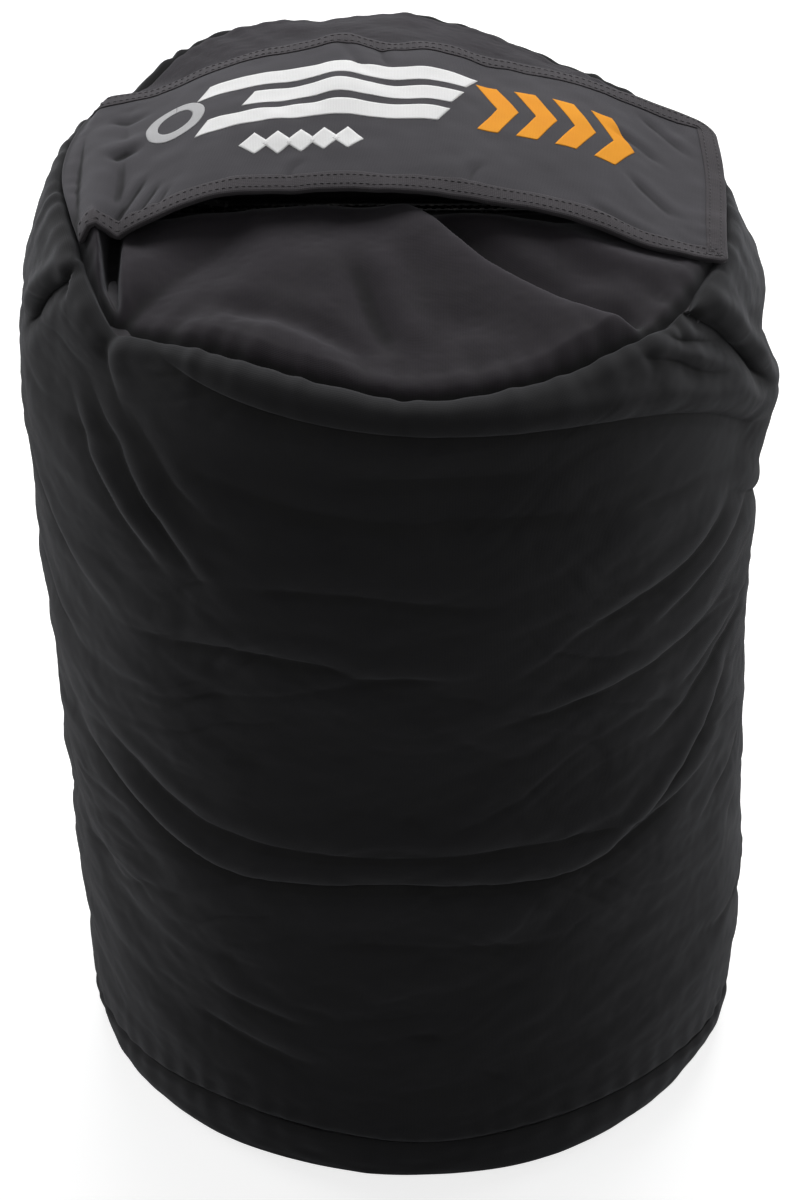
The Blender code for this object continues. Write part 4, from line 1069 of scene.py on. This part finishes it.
def ring_object(name, stations, columns=120):
    """A turned shell from rows of (radius, height), each a number or a function of the angle."""
    angle = all_round(columns)
    rows = []
    for radius, height in stations:
        r = radius(angle) if callable(radius) else np.full(columns, float(radius))
        z = height(angle, r) if callable(height) else np.full(columns, float(height))
        rows.append(about_axis(angle, r, z))
    made = grid_object(name, np.stack(rows, 0), closed=True)
    close_ends(made)
    return made


def inside_stations(depth):
    """The filling's outside: base, tube, shoulder, top, and the well under the mouth."""
    made = [(0.004, FILL_FLOOR + depth), (0.09, FILL_FLOOR + depth), (0.16, 0.0024 + depth)]
    for h in (0.012, 0.026, TAPE_LEVEL):
        inset = 0.0075 + depth + 0.026 * (1 - h / TAPE_LEVEL) ** 2
        made.append((lambda a, inset=inset: radius_at(a, TAPE_LEVEL) - inset, h))
    for h in np.linspace(0.075, 0.5, 16):
        made.append((lambda a, h=h: radius_at(a, h) - FILL_WALL_GAP - depth, h))
    made.append((lambda a: rim_radii(a) + 0.006 - depth, lambda a, r: rim_heights(a) - 0.026 - depth))
    for share in (0.93, 0.8, 0.62, 0.44, 0.28, NECK_RADIUS / RIM_RADIUS):
        def level(a, r, share=share):
            x, y = r * np.cos(np.radians(a)) + LEAN, r * np.sin(np.radians(a))
            well = WELL_DEPTH * (1 - ease(r, NECK_RADIUS, WELL_RADIUS))
            return top_shape(x, y) - FILL_TOP_GAP - 0.012 * ease(share, 0.5, 0.8) - depth - well
        made.append((lambda a, share=share: share * rim_radii(a), level))
    return made


def liner_object():
    """The filling's bag, with its gathered neck standing in the well."""
    stations = inside_stations(0.0)[:-1]
    for radius, rise in LINER_NECK:
        stations.append((radius, MOUTH_FLOOR - NECK_FOOT + rise * NECK_LENGTH))
    return ring_object("liner", stations)


def sand_object():
    ends = [(NECK_RADIUS, MOUTH_FLOOR - 0.05), (0.003, MOUTH_FLOOR - 0.0505)]
    return ring_object("sand", inside_stations(0.0012)[:-1] + ends)


def tape_object(name, radius, middle, section):
    """A ring of tape inside a seam. Its section is in lengths out from the radius and up from the seam."""
    stations = [
        (lambda a, out=out: radius(a) + out, lambda a, r, rise=rise: middle(a) + rise)
        for out, rise in section
    ]
    return ring_object(name, stations, 200)


# Materials

# How much the uneven tone shows in a cloth's colour, how much painted light and shade the folds give it, and
# the tint of its fuzz
MOTTLE = 0.35
FOLD_LIGHT_AND_SHADE = 0.25
SHEEN_TINT = (0.75, 0.76, 0.82)
BARE_METAL = (0.32, 0.31, 0.3)


def feed(tree, made, inputs):
    """Sets a node's inputs: a socket is linked, and a tuple of three numbers is a colour."""
    for key, value in inputs.items():
        if isinstance(value, bpy.types.NodeSocket):
            tree.links.new(value, made.inputs[key])
        elif isinstance(value, tuple):
            made.inputs[key].default_value = (*value, 1)
        else:
            made.inputs[key].default_value = value


def node(tree, kind, output, inputs=None, **values):
    """One socket of a new node, with the node's values set and its inputs fed."""
    made = tree.nodes.new("ShaderNode" + kind)
    for key, value in values.items():
        setattr(made, key, value)
    feed(tree, made, inputs or {})
    return made.outputs[output]


def mapped(tree, value, start, end, low=0.0, high=1.0):
    """A value's place between start and end, as a number from low to high."""
    sizes = {"From Min": start, "From Max": end, "To Min": low, "To Max": high}
    return node(tree, "MapRange", "Result", {"Value": value, **sizes})


def math_node(tree, operation, *inputs, **values):
    return node(tree, "Math", "Value", dict(enumerate(inputs)), operation=operation, **values)


def mixed(tree, share, first, second, kind="RGBA"):
    return node(tree, "Mix", "Result", {"Factor": share, "A": first, "B": second}, data_type=kind)


def noise(tree, scale, detail, roughness=0.5):
    found = tree.nodes.get("place") or tree.nodes.new("ShaderNodeTexCoord")
    found.name = "place"
    sizes = {"Scale": scale, "Detail": detail, "Roughness": roughness}
    return node(tree, "TexNoise", "Fac", {"Vector": found.outputs["Object"], **sizes})


def new_material(name):
    made = bpy.data.materials.new(name)
    made.use_nodes = True
    return made, made.node_tree, made.node_tree.nodes["Principled BSDF"]


def fabric(name, colour, pale, roughness, sheen, thread=0.00085, bump_depth=0.00012):
    """Woven cloth: a plain weave in the height and the colour, fuzz, uneven tone, and painted light and shade
    from the fold attribute: lighter where the cloth stands higher, darker in creases, seams and hollows.
    """
    made, tree, shader = new_material(name)
    uv = node(tree, "UVMap", "UV", uv_map="cloth")
    sizes = {"Scale": math.pi / 10 / thread, "Distortion": 0.35, "Detail": 1.0, "Detail Scale": 0.6}
    warp, weft = (
        node(tree, "TexWave", "Fac", {"Vector": uv, **sizes}, bands_direction=direction)
        for direction in "XY"
    )
    weave = math_node(tree, "MULTIPLY", warp, weft)
    mottles = noise(tree, 26.0, 6.0, 0.62)
    lint = noise(tree, 900.0, 2.0)
    fold = node(tree, "Attribute", "Fac", attribute_name="fold")
    # painted highlight and shade: the fold attribute lightens cloth that stands higher than its neighbours
    # and darkens cloth that lies lower
    painted_fold_light = mapped(tree, fold, -1.0, 1.2, -FOLD_LIGHT_AND_SHADE, FOLD_LIGHT_AND_SHADE)
    # the cloth's own uneven tone plus that painted light and shade
    mottle_and_fold_light = math_node(tree, "MULTIPLY_ADD", mapped(tree, mottles, 0.35, 0.7), MOTTLE, painted_fold_light)
    threads = math_node(tree, "MULTIPLY_ADD", weave, 0.3, mottle_and_fold_light, use_clamp=True)
    # painted shade: creases, seams and hollows darken towards 0.12 of the cloth's colour
    painted_shade_colour = tuple(0.12 * part for part in colour)
    height = math_node(tree, "MULTIPLY_ADD", lint, 0.35, weave)
    feed(tree, shader, {
        "Base Color": mixed(tree, mapped(tree, fold, -0.3, -1.25), mixed(tree, threads, colour, pale), painted_shade_colour),
        "Roughness": mapped(tree, mottles, 0.0, 1.0, roughness - 0.08, min(1.0, roughness + 0.08)),
        "Normal": node(tree, "Bump", "Normal", {"Height": height, "Strength": 0.6, "Distance": bump_depth}),
        "Sheen Weight": sheen, "Sheen Roughness": 0.45, "Sheen Tint": SHEEN_TINT, "Specular IOR Level": 0.25,
    })
    return made


def worn_metal(name, colour, roughness):
    """Dark coated metal with bare, brighter spots."""
    made, tree, shader = new_material(name)
    spots = noise(tree, 420.0, 5.0)
    feed(tree, shader, {
        "Base Color": mixed(tree, mapped(tree, spots, 0.55, 0.8), colour, BARE_METAL),
        "Roughness": mapped(tree, spots, 0.0, 1.0, roughness - 0.1, roughness + 0.15),
        "Metallic": 0.9,
    })
    return made


def grain(name, colour, pale, scale, roughness, depth, transmission=0.0):
    """Sand, moulded plastic or film: a fine grain in colour and height."""
    made, tree, shader = new_material(name)
    grains = noise(tree, scale, 5.0)
    feed(tree, shader, {
        "Base Color": mixed(tree, grains, colour, pale),
        "Normal": node(tree, "Bump", "Normal", {"Height": grains, "Distance": depth}),
        "Roughness": roughness, "Transmission Weight": transmission,
    })
    return made


def paint(made, material):
    made.data.materials.clear()
    made.data.materials.append(material)
    return made


# Studio

# Each light: name, place, the point that it faces, its sides and its power
LIGHTS = (
    ("light_top", (0.1, 0.9, 2.6), (0, 0.0, 0.45), (1.5, 1.3), 52),
    ("light_left", (-2.2, 0.9, 1.0), (0, 0, 0.35), (0.9, 1.7), 18),
    ("light_right", (2.2, 0.8, 1.0), (0, 0, 0.35), (0.9, 1.7), 12),
    ("light_front", (-0.3, -2.6, 2.6), (0, 0, 0.3), (2.0, 1.2), 3.6),
)
WORLD_LIGHT = 0.06
FLOOR_HALF = 12.0
FLOOR_GLOW = 0.8


def area(name, place, aim, size, power):
    light = bpy.data.lights.new(name, "AREA")
    light.shape = "RECTANGLE"
    light.size, light.size_y = size
    light.energy = power
    made = add_object(name, light)
    made.location = place
    made.rotation_euler = (Vector(aim) - Vector(place)).to_track_quat("-Z", "Y").to_euler()


def studio():
    scene = bpy.context.scene
    camera = bpy.data.cameras.new("camera")
    camera.lens = CAMERA_LENS
    camera.sensor_width = CAMERA_SENSOR
    made = add_object("camera", camera)
    made.location = CAMERA_PLACE
    made.rotation_euler = (math.radians(90 - CAMERA_DOWN), 0, 0)
    scene.camera = made
    scene.view_settings.view_transform = "Standard"

    world = bpy.data.worlds.new("studio")
    world.use_nodes = True
    scene.world = world
    tree = world.node_tree
    path = tree.nodes.new("ShaderNodeLightPath").outputs
    through = math_node(tree, "MAXIMUM", path["Is Transmission Ray"], path["Is Glossy Ray"])
    seen = math_node(tree, "MAXIMUM", path["Is Camera Ray"], through)
    strength = mixed(tree, seen, WORLD_LIGHT, 1.0, "FLOAT")
    feed(tree, tree.nodes["Background"], {"Strength": strength, "Color": (1, 1, 1)})

    for light in LIGHTS:
        area(*light)

    corners = np.array(((-1, -1, 0), (1, -1, 0), (1, 1, 0), (-1, 1, 0)), float) * FLOOR_HALF
    floor = mesh_object("floor", corners, np.array([(0, 1, 2, 3)]))
    material, tree, shader = new_material("floor")
    feed(tree, shader, {"Base Color": (0.62, 0.62, 0.62), "Roughness": 0.9})
    seen = math_node(tree, "MULTIPLY", node(tree, "LightPath", "Is Camera Ray"), FLOOR_GLOW)
    glow = node(tree, "Emission", "Emission", {"Strength": seen})
    both = node(tree, "AddShader", "Shader", {0: shader.outputs["BSDF"], 1: glow})
    feed(tree, tree.nodes["Material Output"], {"Surface": both})
    paint(floor, material)


ZIP_TAPES = ("zip_tape_front", "zip_tape_back")
ZIP_METALS = (
    "zip_teeth_front", "zip_teeth_back", "zip_top_stop_front", "zip_top_stop_back", "zip_bottom_stop",
    "zip_slider", "zip_pull",
)


def build():
    studio()
    body = fabric("body_cloth", (0.0066, 0.0066, 0.0072), (0.017, 0.017, 0.0186), 0.88, 0.16)
    panel = fabric("panel_cloth", (0.0118, 0.0098, 0.0123), (0.0285, 0.0242, 0.0298), 0.86, 0.16)
    flap_cloth = fabric("flap_cloth", (0.044, 0.042, 0.047), (0.07, 0.067, 0.075), 0.84, 0.15)
    tape = fabric("edge_tape", (0.047, 0.043, 0.047), (0.08, 0.074, 0.079), 0.9, 0.15, 0.0011, 0.00018)
    zip_tape = fabric("zip_tape", (0.016, 0.016, 0.017), (0.034, 0.034, 0.036), 0.85, 0.2)
    fuzz = fabric("hook_tape", (0.012, 0.012, 0.012), (0.04, 0.04, 0.041), 0.95, 0.5, 0.0016, 0.0006)
    thread = fabric("thread", (0.06, 0.056, 0.06), (0.1, 0.094, 0.098), 0.75, 0.1, thread=0.0004)
    white = fabric("print_white", (0.78, 0.78, 0.78), (0.92, 0.92, 0.92), 0.75, 0.0)
    orange = fabric("print_orange", (0.8, 0.3, 0.018), (0.93, 0.42, 0.035), 0.75, 0.0)
    grey = fabric("print_grey", (0.42, 0.42, 0.43), (0.6, 0.6, 0.61), 0.75, 0.0)
    metal = worn_metal("zip_metal", (0.05, 0.05, 0.053), 0.42)
    film = grain("liner_film", (0.58, 0.58, 0.55), (0.72, 0.72, 0.69), 60, 0.4, 0.0006, 0.2)
    plastic = grain("tie_plastic", (0.02, 0.02, 0.02), (0.04, 0.04, 0.04), 300, 0.45, 0.0001)
    sand = grain("sand", (0.4, 0.31, 0.2), (0.68, 0.56, 0.4), 1400, 0.95, 0.0008)

    points, fold = wall_points()
    bag_wall = grid_object("bag_wall", points, closed=True, fold=fold)
    points, relief = base_points()
    # painted shade and highlight: darker in the base's hollows and at its seam, lighter where its cloth
    # stands higher
    base = grid_object("bag_base", points, closed=True, fold=hollows(relief, True))
    close_ends(base, reach=1.1 * BASE_HOLE, outward=False)
    tops = []
    for name, side in (("top_front", -1), ("top_back", 1)):
        points, fold = top_points(side)
        tops.append(grid_object(name, points, fold=fold, flip=side > 0))
    hull = (bag_wall, base, *tops)
    for made, material, replaced in zip(
        hull, (body, body, panel, panel), ("side_wall", "base_panel", "top_panel_front", "top_panel_back"),
    ):
        paint(thicken(made, CLOTH_THICKNESS), material)
        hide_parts(replaced)
        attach(made, "bag")

    base_radius = functools.partial(radius_at, height=TAPE_LEVEL)
    for made, material, slot, replaced, rides_on in (
        (liner_object(), film, "liner_film", "liner_bag", "bag"),
        (sand_object(), sand, "sand", "sand_fill", "bag"),
        (tape_object("rim_tape_inside", rim_radii, rim_heights, RIM_TAPE),
         tape, "binding_tape", "rim_seam_tape", "bag"),
        (tape_object("base_tape_inside", base_radius, base_seam_heights, BASE_TAPE),
         tape, "binding_tape", "base_seam_tape", "bag"),
        (patch("loop_patch", bag_top, LOOP_GAP + PATCH), fuzz, "hook_tape", "loop_tape", "bag"),
        (patch("hook_patch", flap_height, -FLAP_THICKNESS / 2 - HOOK_GAP),
         fuzz, "hook_tape", "hook_tape", "flap"),
    ):
        paint(made, material)
        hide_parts(replaced)
        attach(made, rides_on)

    points = flap_grid()
    # painted shade and highlight: darker in the flap's wrinkles, lighter where its cloth stands higher
    cloth = grid_object("flap_cloth", points, fold=hollows(points[..., 2], False, scale=0.0008))
    paint(thicken(cloth, FLAP_THICKNESS, 0.0), flap_cloth)
    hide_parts("flap_outer_cloth", "flap_lining", "flap_root")
    binding = paint(binding_object(), tape)
    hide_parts("flap_binding")
    sewn = paint(edge_stitches(), thread)
    for made in (cloth, binding, sewn):
        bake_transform(made)

    printed = [paint(stripe(f"print_white_{i + 1}", *place), white) for i, place in enumerate(PRINT_STRIPES)]
    printed.append(paint(ring("print_grey_1", *PRINT_RING), grey))
    for i in range(ARROW_COUNT):
        left = ARROW_START + ARROW_STEP * i
        printed.append(paint(chevron(f"print_orange_{i + 1}", left, *ARROW_SHAPE), orange))
    for i in range(DIAMOND_COUNT):
        middle = DIAMOND_START + DIAMOND_STEP * i
        printed.append(paint(diamond(f"print_small_{i + 1}", middle, *DIAMOND_SHAPE), white))
    for made in printed:
        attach(made, "flap")

    for names, material in ((ZIP_TAPES, zip_tape), (ZIP_METALS, metal), (("liner_tie",), plastic)):
        for name in names:
            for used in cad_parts[name].material_slots:
                used.material = material


build()
